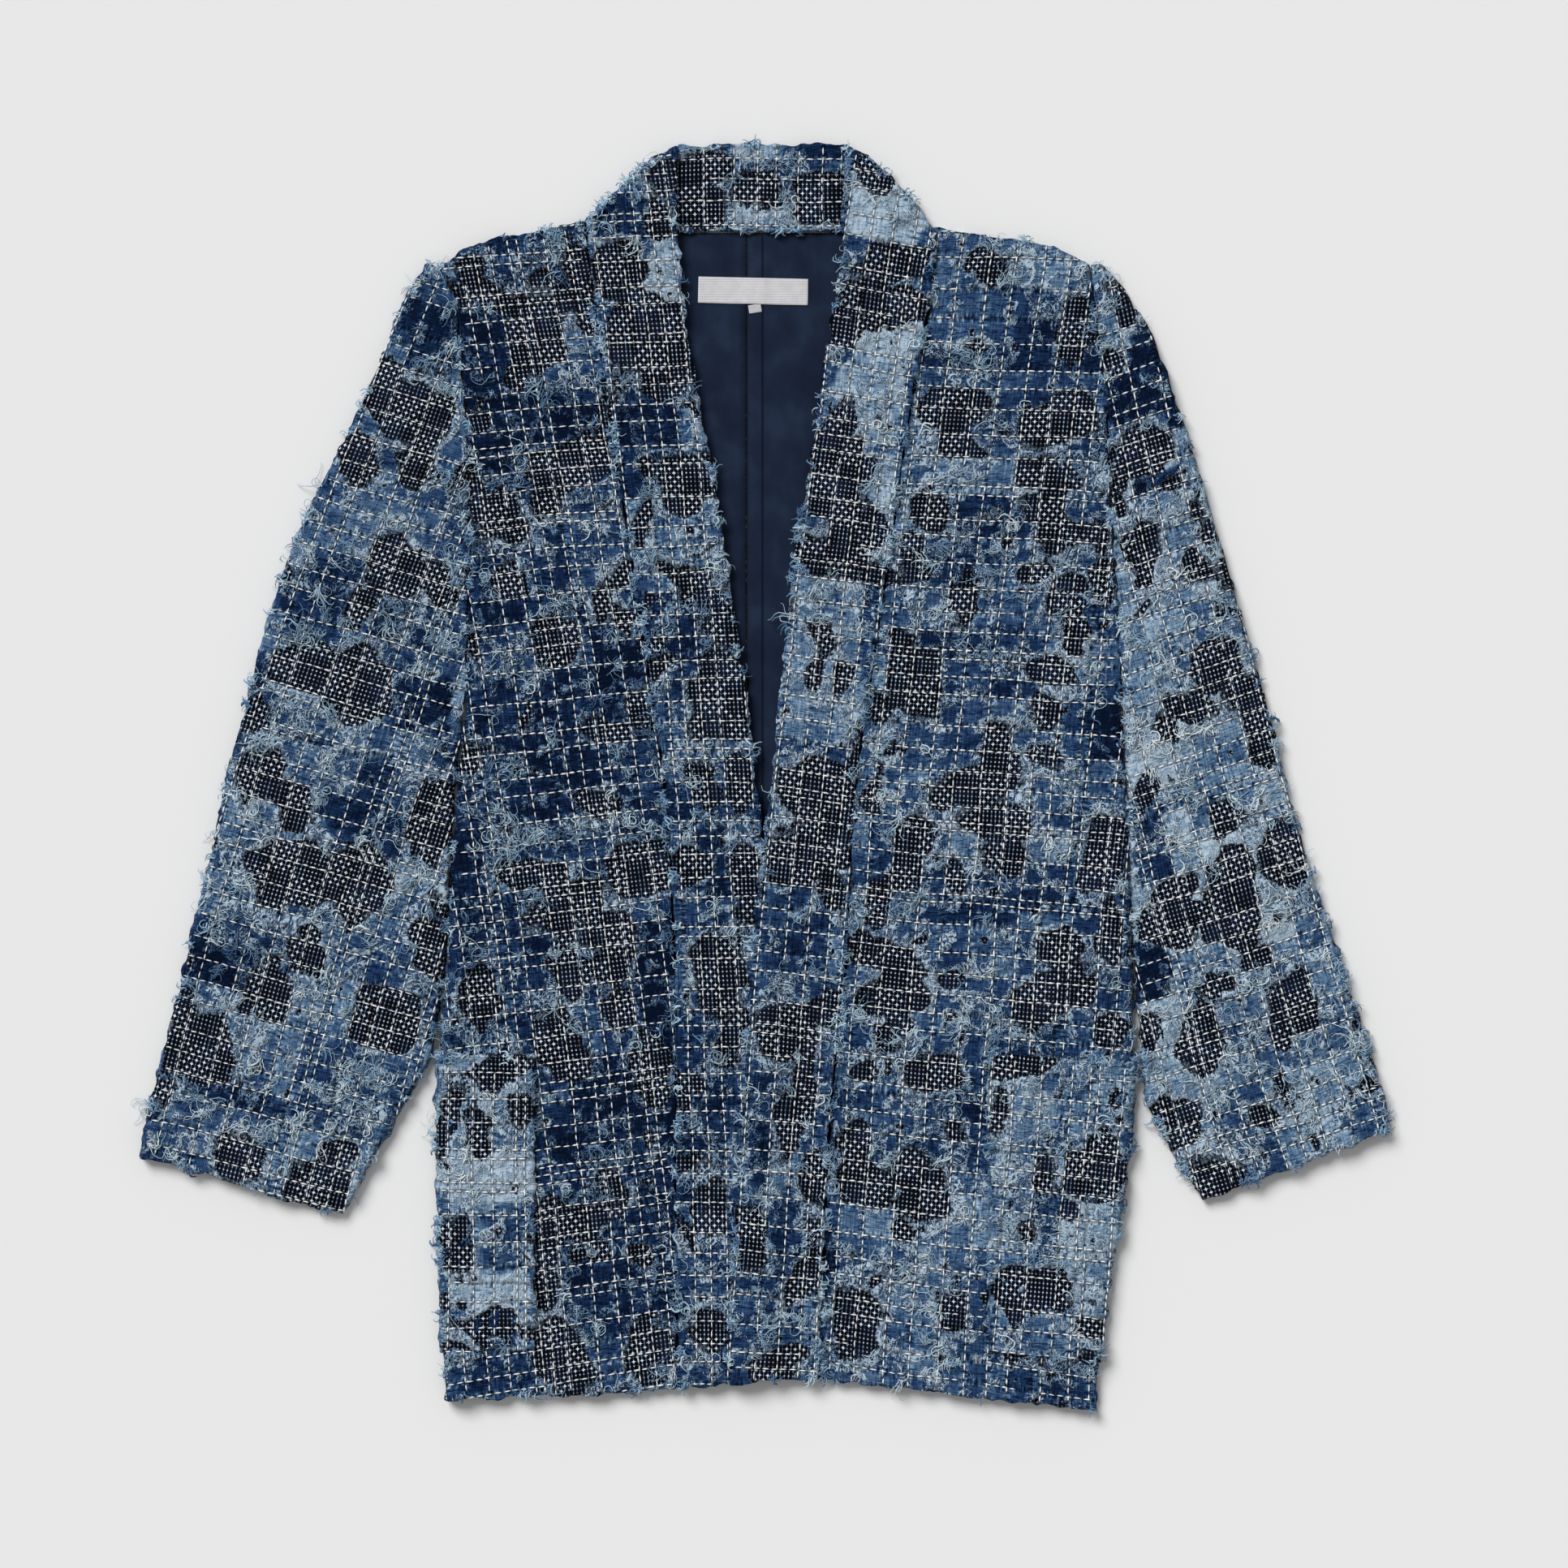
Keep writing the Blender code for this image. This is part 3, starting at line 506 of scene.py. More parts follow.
def work_out_wear(panel, seed, x, y, grain, columns, rows):
    """All the wear for arrays of table places, as one Worn."""
    to_grain, to_table = grain
    u, v = to_grain(x, y)
    from_column, column = nearest_gap(columns, u)
    from_row, row = nearest_gap(rows, v)
    luck = np.random.default_rng(int(seed * 10)).random((len(columns) + 1, len(rows) + 1))
    ragged_place = ragged(x, y, seed)
    middles, cells = cell_middles(columns, rows, to_table)

    def of_cell(marks, *cut):
        """How far inside a mark the middle of each place's own cell lies."""
        depth = depth_inside(marks, *middles, *cut).reshape(cells)
        return np.clip(depth[column - 1, row - 1], -CELL_DEPTH, CELL_DEPTH)

    torn = TEAR_SHARE * depth_inside(TEARS[panel.name], *ragged_place)
    torn += (1 - TEAR_SHARE) * of_cell(TEARS[panel.name])
    for number, (deep, length, above) in enumerate(STRAY_TEARS):
        torn = np.maximum(torn, deep * (wander(x, y, length, seed + 5 + number) - above))
    patch = luck[column // 3, row // 2] + luck[(column + 1) // 4, (row + 5) // 3] - 1
    tone = panel.tone + PATCH_LUCK * patch + CELL_LUCK * (luck[column, row] - 0.5)
    tone += 0.20 * wander(x, y, 48, seed + 7)
    for mark in FADES[panel.name]:
        own = depth_inside([mark], *ragged_place, *SQUARE_CUT)
        share = ramp(0.5 * own + 0.5 * of_cell([mark], *SQUARE_CUT), -1, 1)
        tone += share * (mark[4] + LISTED_LUCK * (luck[column, row] - 0.5) - tone)
    frayed = work_out_frays(panel, seed, x, y, ragged_place, torn)
    return Worn(u, v, torn, np.clip(tone, 0, 1), np.clip(frayed, 0, 1), from_column, from_row)


# %% [markdown]
# ## Relief
# The mended cloth is thick and soft. The sheeting stands proud of the printed cotton where it
# is left, each row of stitches draws a groove, the cells puff up between the grooves, and short
# puckers gather along them. The larger creases are listed below: where the jacket was
# folded, at the armholes, and where it sags over what lies under it.

# %% Place the creases
Crease = namedtuple("Crease", "x y heading length width height")
BOW = 0.0022           # creases bow sideways, by this much times the square of the way along
CREASES = [
    Crease(-204, 30, 88, 430, 20, -2.2),
    Crease(-200, -120, 92, 170, 14, 1.6),
    Crease(234, 60, 92, 460, 20, -2.2),
    Crease(228, -110, 86, 160, 14, 1.6),
    Crease(-190, 215, 38, 110, 22, 1.8),
    Crease(-236, 170, 62, 170, 26, -1.5),
    Crease(-280, 60, 66, 190, 30, 1.9),
    Crease(-262, -40, 60, 130, 20, -1.4),
    Crease(-330, -60, 68, 150, 24, -1.6),
    Crease(-352, -170, 72, 120, 22, 1.5),
    Crease(-290, -190, 70, 100, 18, 1.2),
    Crease(262, 200, 112, 150, 24, 1.6),
    Crease(284, 80, 108, 200, 28, -1.5),
    Crease(318, 20, 104, 150, 22, 1.7),
    Crease(270, -70, 98, 130, 20, 1.4),
    Crease(350, -150, 110, 130, 22, -1.5),
    Crease(310, -200, 106, 110, 20, 1.4),
    Crease(-150, 140, 80, 160, 34, 1.3),
    Crease(-110, -40, 84, 220, 36, -1.2),
    Crease(-150, -250, 96, 150, 28, 1.3),
    Crease(-176, -232, 58, 70, 14, 1.8),
    Crease(-190, -226, 122, 60, 12, -1.4),
    Crease(160, 150, 96, 180, 36, 1.3),
    Crease(120, -30, 92, 210, 34, -1.2),
    Crease(170, -230, 76, 120, 22, 1.6),
    Crease(110, -300, 98, 150, 26, 1.2),
    Crease(-40, -360, 40, 60, 14, -1.2),
    Crease(70, 350, 55, 70, 18, 1.3),
    Crease(-80, 350, 125, 70, 18, 1.3),
]


def crease_height(x, y):
    """How much the soft creases lift or sink the cloth, in mm."""
    lift = np.zeros(len(x))
    for crease in CREASES:
        turn = math.radians(crease.heading)
        along = (x - crease.x) * math.cos(turn) + (y - crease.y) * math.sin(turn)
        across = (y - crease.y) * math.cos(turn) - (x - crease.x) * math.sin(turn)
        across = across + BOW * along ** 2 * (1 if crease.length % 2 else -1)
        lift += crease.height * np.exp(-(2 * along / crease.length) ** 2
                                       - (2 * across / crease.width) ** 2)
    return lift


# %% Shape the relief
SHEETING = 1.1         # mm that the sheeting stands over the printed cotton
PUFF = 1.1             # mm that the middle of a cell stands over its stitches
PUFF_REACH = 4.2
PUCKER = 1.0
PUCKER_REACH = 4.5
TANGLE = 1.7           # mm that a mass of loose yarn stands up
DEEPEST = -0.5


def relief_height(x, y, seed, worn):
    """Height of the worn surface over the bare solid, in mm."""
    from_stitch = np.minimum(worn.from_column, worn.from_row)
    left = 1 - ramp(worn.torn, -1.0, 1.0)
    puff = PUFF * (1 - np.exp(-(from_stitch / PUFF_REACH) ** 2))
    gathered = 0.4 + 0.6 * np.exp(-(from_stitch / PUCKER_REACH) ** 2)
    pucker = PUCKER * wander(x, y, 7.5, seed + 11) * gathered
    soft = 1.7 * wander(x, y, 46, seed + 12) + 1.1 * wander(x, y, 19, seed + 13)
    tangle = TANGLE * worn.frayed * (0.7 + 1.2 * wander(x, y, 5.2, seed + 16))
    height = SHEETING * left + puff + pucker + soft + tangle + crease_height(x, y)
    return np.maximum(height, DEEPEST)


# %% [markdown]
# A sleeve is a flattened tube, and a front reaches round the side and in under the garment, so
# both have cloth below as well. The upper cloth is copied, turned over and set down on the
# solid's underside. Where the two meet at a rolled edge, their corners are merged.

# %% Add the layer below
FOLDED = ("front_right", "front_left", "sleeve_right", "sleeve_left")
OPEN_GAP = 2.6 * MM    # in those, a solid deeper than this is two layers of cloth
SHUT_GAP = 1.2 * MM    # and one shallower than this is a rolled edge
SEAL_LIFT = 2 * MM     # a rolled edge stays at least this far off the table
SEAL = 0.02 * MM       # corners of the two layers closer than this become one


def add_layer_below(bm, under, deep):
    """Copy the squares that have a second layer beneath them, and seal the rolled edges."""
    double = [face for face in bm.faces
              if all(v[deep] > OPEN_GAP or v[deep] < SHUT_GAP for v in face.verts)
              and any(v[deep] > OPEN_GAP for v in face.verts)]
    if not double:
        return []
    corners = {vert for face in double for vert in face.verts}
    sides = {edge for face in double for edge in face.edges}
    geometry = [vert for vert in bm.verts if vert in corners]
    shut = [vert for vert in geometry if vert[deep] < SHUT_GAP]
    geometry += [edge for edge in bm.edges if edge in sides] + double
    made = bmesh.ops.duplicate(bm, geom=geometry)
    copies = made["vert_map"]
    faces = [item for item in made["geom"] if isinstance(item, bmesh.types.BMFace)]
    bmesh.ops.reverse_faces(bm, faces=faces)
    for vert in made["geom"]:
        if isinstance(vert, bmesh.types.BMVert):
            vert.co.z = max(vert[under], 0.0)
    seal = []
    for vert in shut:
        vert.co.z = copies[vert].co.z = max(vert[under], SEAL_LIFT)
        seal += [vert, copies[vert]]
    bmesh.ops.remove_doubles(bm, verts=seal, dist=SEAL)
    return [face for face in faces if face.is_valid]


# %% [markdown]
# Where one layer of cloth ends, its edge is turned down by the cloth's thickness in two narrow
# strips, so the edge looks round and nothing shows between it and what it lies on.

# %% Turn the open edges down
EDGE_DROPS = (0.35, 0.60)   # each strip's depth, as a share of the cloth's thickness


def turn_edges(bm, wall, lower_faces):
    """Turn an upper edge down and a lower edge up, in strips."""
    below = set(lower_faces)
    rims = {-1: [], 1: []}
    for edge in bm.edges:
        if edge.is_boundary:
            rims[1 if edge.link_faces[0] in below else -1].append(edge)
    for way, rim in rims.items():
        for drop in EDGE_DROPS:
            if not rim:
                break
            made = bmesh.ops.extrude_edge_only(bm, edges=rim)["geom"]
            fresh = [item for item in made if isinstance(item, bmesh.types.BMVert)]
            for vert in fresh:
                vert.co.z = max(vert.co.z + way * drop * wall * MM, 0.0)
            fresh = set(fresh)
            rim = [item for item in made if isinstance(item, bmesh.types.BMEdge)
                   and item.verts[0] in fresh and item.verts[1] in fresh]


# %% [markdown]
# The outline of worn cloth isn't a clean line. Each corner on it is moved in or out by noise,
# along the direction that faces out of the cloth there. The same directions are used again
# below, where yarns are frayed out of the outline.

# %% Find which way the outline and the tears face
def outward(vert):
    """Unit vector out of the cloth at a corner on its outline."""
    inner = sum((face.calc_center_median() for face in vert.link_faces), Vector())
    inner /= len(vert.link_faces)
    away = (vert.co - inner).xy
    return away.normalized() if away.length else away


def uphill(bm, values):
    """Heading, in radians, in which a number kept for each corner rises fastest."""
    headings = []
    for vert in bm.verts:
        rise = Vector((0, 0))
        for edge in vert.link_edges:
            other = edge.other_vert(vert)
            rise += (other.co - vert.co).xy * (values[other.index] - values[vert.index])
        headings.append(math.atan2(rise.y, rise.x))
    return headings


# %% Stray the outline and chart the weave
RAGGED = 2.4           # how far in or out the outline strays, in mm
RAGGED_LENGTHS = (11, 4.5)


def stray_outline(bm, out):
    """Move the outline in and out, keep each way out in a layer, and list the outline in mm."""
    rim = [(vert, outward(vert)) for vert in bm.verts if vert.is_boundary]
    for vert, way in rim:
        place = vert.co / MM
        broad, fine = (noise.noise((place / length).xy.to_3d()) for length in RAGGED_LENGTHS)
        vert.co.xy += way * (broad + 0.6 * fine) * RAGGED * MM
        vert[out] = way.to_3d()
    return [(vert.co.x / MM, vert.co.y / MM, math.atan2(way.y, way.x)) for vert, way in rim]


def chart_weave(bm, weave):
    """Turn the cloth places kept at the corners into the UV map."""
    chart = bm.loops.layers.uv.new("UVMap")
    for face in bm.faces:
        for loop in face.loops:
            loop[chart].uv = loop.vert[weave].xy


def drop_layers(layers, names):
    """Remove working layers, so that only what the finishes read stays on the mesh."""
    for name in names:
        layers.remove(layers[name])


def keep_mesh(bm, name):
    """Turn a bmesh into an object of that name, shaded smooth, in the scene."""
    mesh = bpy.data.meshes.new(name)
    bm.to_mesh(mesh)
    bm.free()
    mesh.shade_smooth()
    made = bpy.data.objects.new(name, mesh)
    bpy.context.collection.objects.link(made)
    return made


# %% [markdown]
# One panel is built in this order: drop the grid, ease it, rule the stitched lines, work out
# the wear, lift the relief, stray the outline, add the layer below, and turn the edges down.
# What later steps need, such as the lines and the wear, is kept with the cloth.

# %% Build one panel of cloth
Laid = namedtuple("Laid", "panel seed grain columns rows cloth tree places worn rim into_tear")
COLUMN_GAP = {"sleeve_right": 14.5, "sleeve_left": 15.0, "front_right": 12.8}
ROW_GAP = {"front_right": 13.0, "sleeve_right": 13.5, "sleeve_left": 13.0}
USUAL_GAP = 13.2


def lay_cloth(panel, seed):
    """Lay one panel; the seed sets its noise apart from the others'."""
    bm, under = drop_grid(panel)
    deep = bm.verts.layers.float.new("deep")
    wear = bm.verts.layers.float_color.new("wear")
    sewn = bm.verts.layers.float_color.new("sewn")
    weave = bm.verts.layers.float_vector.new("weave")
    out = bm.verts.layers.float_vector.new("out")
    for vert in bm.verts:
        vert[deep] = vert.co.z - vert[under]
    ease_heights(bm)
    x = np.array([vert.co.x for vert in bm.verts]) / MM
    y = np.array([vert.co.y for vert in bm.verts]) / MM
    grain = make_grain(panel, seed)
    u, v = grain[0](x, y)
    columns = rule_lines(u.min(), u.max(), COLUMN_GAP.get(panel.name, USUAL_GAP))
    rows = rule_lines(v.min(), v.max(), ROW_GAP.get(panel.name, USUAL_GAP))
    worn = work_out_wear(panel, seed, x, y, grain, columns, rows)
    bm.verts.index_update()
    into_tear = uphill(bm, worn.torn)
    height = relief_height(x, y, seed, worn)
    channels = (0.5 + worn.torn / TORN_REACH, worn.tone, worn.frayed,
                worn.from_column / SEWN_REACH, worn.from_row / SEWN_REACH)
    for index, vert in enumerate(bm.verts):
        vert.co.z += height[index] * MM
        torn, tone, frayed, column, row = (float(channel[index]) for channel in channels)
        vert[wear] = (torn, tone, frayed, 1)
        vert[sewn] = (column, row, 0, 1)
        vert[weave] = (worn.u[index] * MM, worn.v[index] * MM, 0)
    rim = stray_outline(bm, out)
    lower_faces = add_layer_below(bm, under, deep) if panel.name in FOLDED else []
    for face in lower_faces:
        face.material_index = 1
    for vert in bm.verts:
        if vert[out].length:     # the weave runs on down a rolled edge
            top = max(edge.other_vert(vert).co.z for edge in vert.link_edges)
            vert[weave] += vert[out] * (top - vert.co.z)
    turn_edges(bm, panel.wall, lower_faces)
    chart_weave(bm, weave)
    drop_layers(bm.verts.layers.float, ("under", "deep"))
    drop_layers(bm.verts.layers.float_vector, ("weave", "out"))
    tree = BVHTree.FromBMesh(bm)
    cloth = keep_mesh(bm, "cloth_" + panel.name)
    places = np.stack([x, y], axis=1)
    return Laid(panel, seed, grain, columns, rows, cloth, tree, places, worn, rim, into_tear)


laid = [lay_cloth(panel, 1.0 + 20 * number) for number, panel in enumerate(PANELS)]
for each in laid:
    print(each.cloth.name, "faces:", len(each.cloth.data.polygons), "rows:", len(each.rows),
          "columns:", len(each.columns))

# %% [markdown]
# ## Running stitches
# The rows are sewn in thick white cotton. Each stitch that shows is a short lens of thread:
# wide in the middle, and thin where it dives back into the cloth. One lens is made from a
# three-sided tube whose ends are drawn out to points. Geometry Nodes then sets a copy of it on
# every stitch place, which is a vertex that carries its direction and size, and realizes them
# as one mesh for each panel.

# %% Make the lens of one stitch
BARREL = 0.34          # length of the tube, where the whole lens is 1 long
POINT = 0.33           # and of each drawn-out end
LENS_FACES = 9


def make_stitch():
    bm = bmesh.new()
    bmesh.ops.create_cone(bm, cap_ends=True, cap_tris=False, segments=3, radius1=1, radius2=1,
                          depth=BARREL)
    ends = [face for face in bm.faces if abs(face.normal.z) > 0.9]
    bmesh.ops.poke(bm, faces=ends, offset=POINT)
    return keep_mesh(bm, "one_stitch")


one_stitch = make_stitch()
print("lens faces:", len(one_stitch.data.polygons))

# %% Find where the stitches lie
STITCH = (3.8, 5.8)           # length of a stitch, in mm
STITCH_GAP = (0.7, 1.3)       # cloth between it and the next
STITCH_RADIUS = (0.58, 0.84)
FIRST_STITCH = 6              # a line's first stitch starts up to this far in
ASTRAY = 0.25                 # how far a stitch's ends stray to the side of its line
LOST_ABOVE = (0.15, 0.4, 0.6, 0.7, 0.7)   # noise above which a line's stitches have worn away
WORN_LENGTH = 30              # mm of line that wear away together
LINE_APART = 0.37             # keeps the noise of neighbouring lines apart
THINNER = (0.85, 1.05)        # some lines are sewn in finer thread


def place_stitches(each):
    """Ends of every stitch as cloth places, and its thickness: five arrays."""
    starts_u, starts_v, ends_u, ends_v, thickness = [], [], [], [], []
    sets = [(each.rows, each.columns, False), (each.columns, each.rows, True)]
    for lines, across, upright in sets:
        for line in lines:
            at = across[0] + random.uniform(0, FIRST_STITCH)
            lost_above = random.choice(LOST_ABOVE)
            thinner = random.uniform(*THINNER)
            while at < across[-1]:
                length = random.uniform(*STITCH)
                worn = noise.noise((at / WORN_LENGTH, line * LINE_APART, each.seed))
                if worn < lost_above:
                    first = (line + random.uniform(-ASTRAY, ASTRAY), at)
                    last = (line + random.uniform(-ASTRAY, ASTRAY), at + length)
                    if not upright:
                        first, last = first[::-1], last[::-1]
                    starts_u.append(first[0])
                    starts_v.append(first[1])
                    ends_u.append(last[0])
                    ends_v.append(last[1])
                    thickness.append(thinner * random.uniform(*STITCH_RADIUS) * MM)
                at += length + random.uniform(*STITCH_GAP)
    return [np.array(values) for values in (starts_u, starts_v, ends_u, ends_v, thickness)]


def join_solids():
    """One plumb-line tree of all the solids, to tell what lies on top."""
    points, faces = [], []
    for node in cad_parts.values():
        start = len(points)
        points += [vertex.co.copy() for vertex in node.data.vertices]
        faces += [[start + i for i in polygon.vertices] for polygon in node.data.polygons]
    return BVHTree.FromPolygons(points, faces)


whole_tree = join_solids()


def lies_open(name, x, y):
    """Whether a panel shows at a place, and isn't under another one."""
    own = height_from_above(solid_trees[name], x, y)
    return own is not None and whole_tree.ray_cast(Vector((x, y, 1)), DOWN)[0].z < own + 0.001


# %% Set copies of the lens with Geometry Nodes
def named_value(group, name, kind):
    node = group.nodes.new("GeometryNodeInputNamedAttribute")
    node.data_type = kind
    node.inputs["Name"].default_value = name
    return node.outputs["Attribute"]


def new_group(name):
    """A Geometry Nodes group with one geometry in and one out."""
    group = bpy.data.node_groups.new(name, "GeometryNodeTree")
    group.interface.new_socket("Geometry", in_out="INPUT", socket_type="NodeSocketGeometry")
    group.interface.new_socket("Geometry", in_out="OUTPUT", socket_type="NodeSocketGeometry")
    return group, group.nodes.new("NodeGroupInput"), group.nodes.new("NodeGroupOutput")


def copies_group(template):
    group, start, end = new_group("set_copies")
    copy = group.nodes.new("GeometryNodeObjectInfo")
    copy.inputs["Object"].default_value = template
    scatter = group.nodes.new("GeometryNodeInstanceOnPoints")
    realize = group.nodes.new("GeometryNodeRealizeInstances")
    link = group.links.new
    link(start.outputs[0], scatter.inputs["Points"])
    link(copy.outputs["Geometry"], scatter.inputs["Instance"])
    link(named_value(group, "turn", "FLOAT_VECTOR"), scatter.inputs["Rotation"])
    link(named_value(group, "size", "FLOAT_VECTOR"), scatter.inputs["Scale"])
    link(scatter.outputs["Instances"], realize.inputs["Geometry"])
    link(realize.outputs["Geometry"], end.inputs[0])
    return group


def grow(source, group, name):
    """Run a node group on an object, keep the result as a plain mesh, and drop the source."""
    source.modifiers.new("grow", "NODES").node_group = group
    graph = bpy.context.evaluated_depsgraph_get()
    mesh = bpy.data.meshes.new_from_object(source.evaluated_get(graph))
    made = bpy.data.objects.new(name, mesh)
    bpy.context.collection.objects.link(made)
    mesh.name = name
    mesh.shade_smooth()
    bpy.data.objects.remove(source)
    return made


# %% Sew every panel
RIDE_HEIGHT = 0.42     # mm that a stitch's middle line rides over the cloth
STEEPEST = 3 * MM      # a stitch isn't sewn over a bigger step than this
OVERLONG = 1.06        # stitches are this much longer, so that their points sink in


def sew(each, group):
    """All the stitches of one panel, as one mesh."""
    *ends, thickness = place_stitches(each)
    to_table = each.grain[1]
    starts = to_table(*ends[:2])
    stops = to_table(*ends[2:])
    bm = bmesh.new()
    turn = bm.verts.layers.float_vector.new("turn")
    size = bm.verts.layers.float_vector.new("size")
    for *corners, radius in zip(*starts, *stops, thickness):
        x0, y0, x1, y1 = (corner * MM for corner in corners)
        first = height_from_above(each.tree, x0, y0)
        last = height_from_above(each.tree, x1, y1)
        if first is None or last is None or abs(first - last) > STEEPEST:
            continue
        if not lies_open(each.panel.name, (x0 + x1) / 2, (y0 + y1) / 2):
            continue
        start = Vector((x0, y0, first))
        end = Vector((x1, y1, last))
        vert = bm.verts.new((start + end) / 2 + UP * RIDE_HEIGHT * MM)
        vert[turn] = (end - start).to_track_quat("Z", "Y").to_euler()[:]
        vert[size] = (radius, radius, (end - start).length * OVERLONG)
    return grow(keep_mesh(bm, "stitch_places"), group, "stitching_" + each.panel.name)


set_copies = copies_group(one_stitch)
stitching = [sew(each, set_copies) for each in laid]
print("stitches:", sum(len(piece.data.polygons) for piece in stitching) // LENS_FACES)
bpy.data.objects.remove(one_stitch)

# %% [markdown]
# ## Loose yarns
# Torn sheeting sheds its yarns. They lie on the cloth as pale loops and rags, thickest along
# the tears and over whole worn squares, and many stick out past the edges. Each yarn is a short
# walk over the cloth whose turning wanders, so it curls without making a true circle. Yarns
# start in bunches, with nearly the same direction and curl, so they lie together like a frayed
# rag. Geometry Nodes then turns each walk into a thin tube.

# %% Walk the yarns
YARNS = 5400           # over the whole jacket
YARN_STEP = (1.1, 2.0)
CRIMP = 0.16           # yarn out of a weave keeps its waves: this many radians to either side
YARN_RADIUS = (0.24, 0.42)
SLUB_RADIUS = (0.50, 0.78)
SLUBS = 0.15           # share of yarns that are thick slubs or rolled rags
TAPER = 0.55           # share of its thickness that a yarn loses by its end
YARN_LIFT = (0.4, 2.6) # how far the middle of a yarn stands off the cloth
END_LIFT = 0.15
DROOP = 0.7 * MM       # how far a yarn sinks at each step once it is past an edge
LOWEST = 0.5 * MM
CURL_DRIFT = 0.24      # a yarn's turning wanders by about this at each step, in radians
MOST_CURL = 0.65
JITTER = 0.15
FOLLOW = 0.22          # share of each turn that goes towards the band's own direction


def ridge_heading(x, y, seed):
    """Direction, in radians, that a winding band of loose yarn runs in at a place."""
    scale = 1 / RIDGE_LENGTH
    deep = (seed + 8) * SEED_STEP
    here = noise.noise((x * scale, y * scale, deep))
    to_right = noise.noise(((x + 1) * scale, y * scale, deep)) - here
    to_top = noise.noise((x * scale, (y + 1) * scale, deep)) - here
    return math.atan2(-to_right, to_top)


def walk_yarn(bm, layers, each, x, y, heading, tone, steps, curl, follow=FOLLOW, girth=1.0):
    """Lay one yarn from a place on the cloth; x and y in mm."""
    thickness, shade = layers
    lift = random.uniform(*YARN_LIFT)
    radius = girth * random.uniform(*(SLUB_RADIUS if random.random() < SLUBS else YARN_RADIUS))
    height, previous = None, None
    for step in range(steps + 1):
        found = height_from_above(each.tree, x * MM, y * MM)
        if found is None:
            if height is None:
                return
            found = max(height - DROOP, LOWEST)
        height = found
        share = step / steps
        arch = math.sin(math.pi * (0.1 + 0.85 * share))
        rise = END_LIFT + lift * arch * random.uniform(0.6, 1)
        vert = bm.verts.new((x * MM, y * MM, height + rise * MM))
        vert[thickness] = radius * (1 - TAPER * share) * MM
        vert[shade] = tone
        if previous:
            bm.edges.new((previous, vert))
        previous = vert
        stride = random.uniform(*YARN_STEP)
        bent = heading + (CRIMP if step % 2 else -CRIMP)
        x += stride * math.cos(bent)
        y += stride * math.sin(bent)
        if follow:
            off = ridge_heading(x, y, each.seed) - heading
            heading += follow * math.asin(math.sin(off))
        curl = min(max(curl + random.gauss(0, CURL_DRIFT), -MOST_CURL), MOST_CURL)
        heading += curl + random.uniform(-JITTER, JITTER)


# %% Grow tubes on the walks
def tubes_group():
    """Turns each walk into a three-sided tube of the thickness that it carries."""
    group, start, end = new_group("grow_yarn")
    curve = group.nodes.new("GeometryNodeMeshToCurve")
    ring = group.nodes.new("GeometryNodeCurvePrimitiveCircle")
    ring.inputs["Resolution"].default_value = 3
    ring.inputs["Radius"].default_value = 1.0
    tube = group.nodes.new("GeometryNodeCurveToMesh")
    tube.inputs["Fill Caps"].default_value = True
    link = group.links.new
    link(start.outputs[0], curve.inputs["Mesh"])
    link(curve.outputs["Curve"], tube.inputs["Curve"])
    link(ring.outputs["Curve"], tube.inputs["Profile Curve"])
    link(named_value(group, "thickness", "FLOAT"), tube.inputs["Scale"])
    link(tube.outputs["Mesh"], end.inputs[0])
    return group


grow_yarn = tubes_group()
print("nodes that grow a yarn:", len(grow_yarn.nodes))

# %% [markdown]
# Bunches start by lot, and the more frayed a place is, the more lots it holds. Out on the open
# cloth a bunch follows the winding bands of wear. Beside a tear most bunches run along its
# edge, as a rolled rag does, and some hang into it.

# %% Shed bunches over the cloth
BUNCH = (1, 3, 6, 8)   # yarns that start together
SPREAD = 1.3           # mm that they start apart
YARN_STEPS = (5, 12)
SHORT_STEPS = (3, 5)   # for yarns that hang into a tear
LEAST_FRAYED = 0.50    # no yarns where the cloth is less frayed than this
NEAR_TEAR = 3.0        # mm from a tear's edge within which yarns run along it
HANGING = 0.3          # share of those that hang in instead
CURL = 0.48            # a yarn starts by turning up to this much at each step, in radians


def start_bunch(each, index, x, y):
    """Heading, number of steps, and share of following for a bunch at one place."""
    heading = ridge_heading(x, y, each.seed) + random.choice((0, math.pi))
    heading += random.gauss(0, 0.6)
    steps = random.randint(*YARN_STEPS)
    if abs(each.worn.torn[index] + 1) >= NEAR_TEAR:
        return heading, steps, FOLLOW
    into = each.into_tear[index]
    hangs_in = random.random() < HANGING
    side = 0 if hangs_in else random.choice((-1, 1)) * math.pi / 2
    heading = into + side + random.gauss(0, 0.35)
    return heading, random.randint(*SHORT_STEPS) if hangs_in else steps, 0


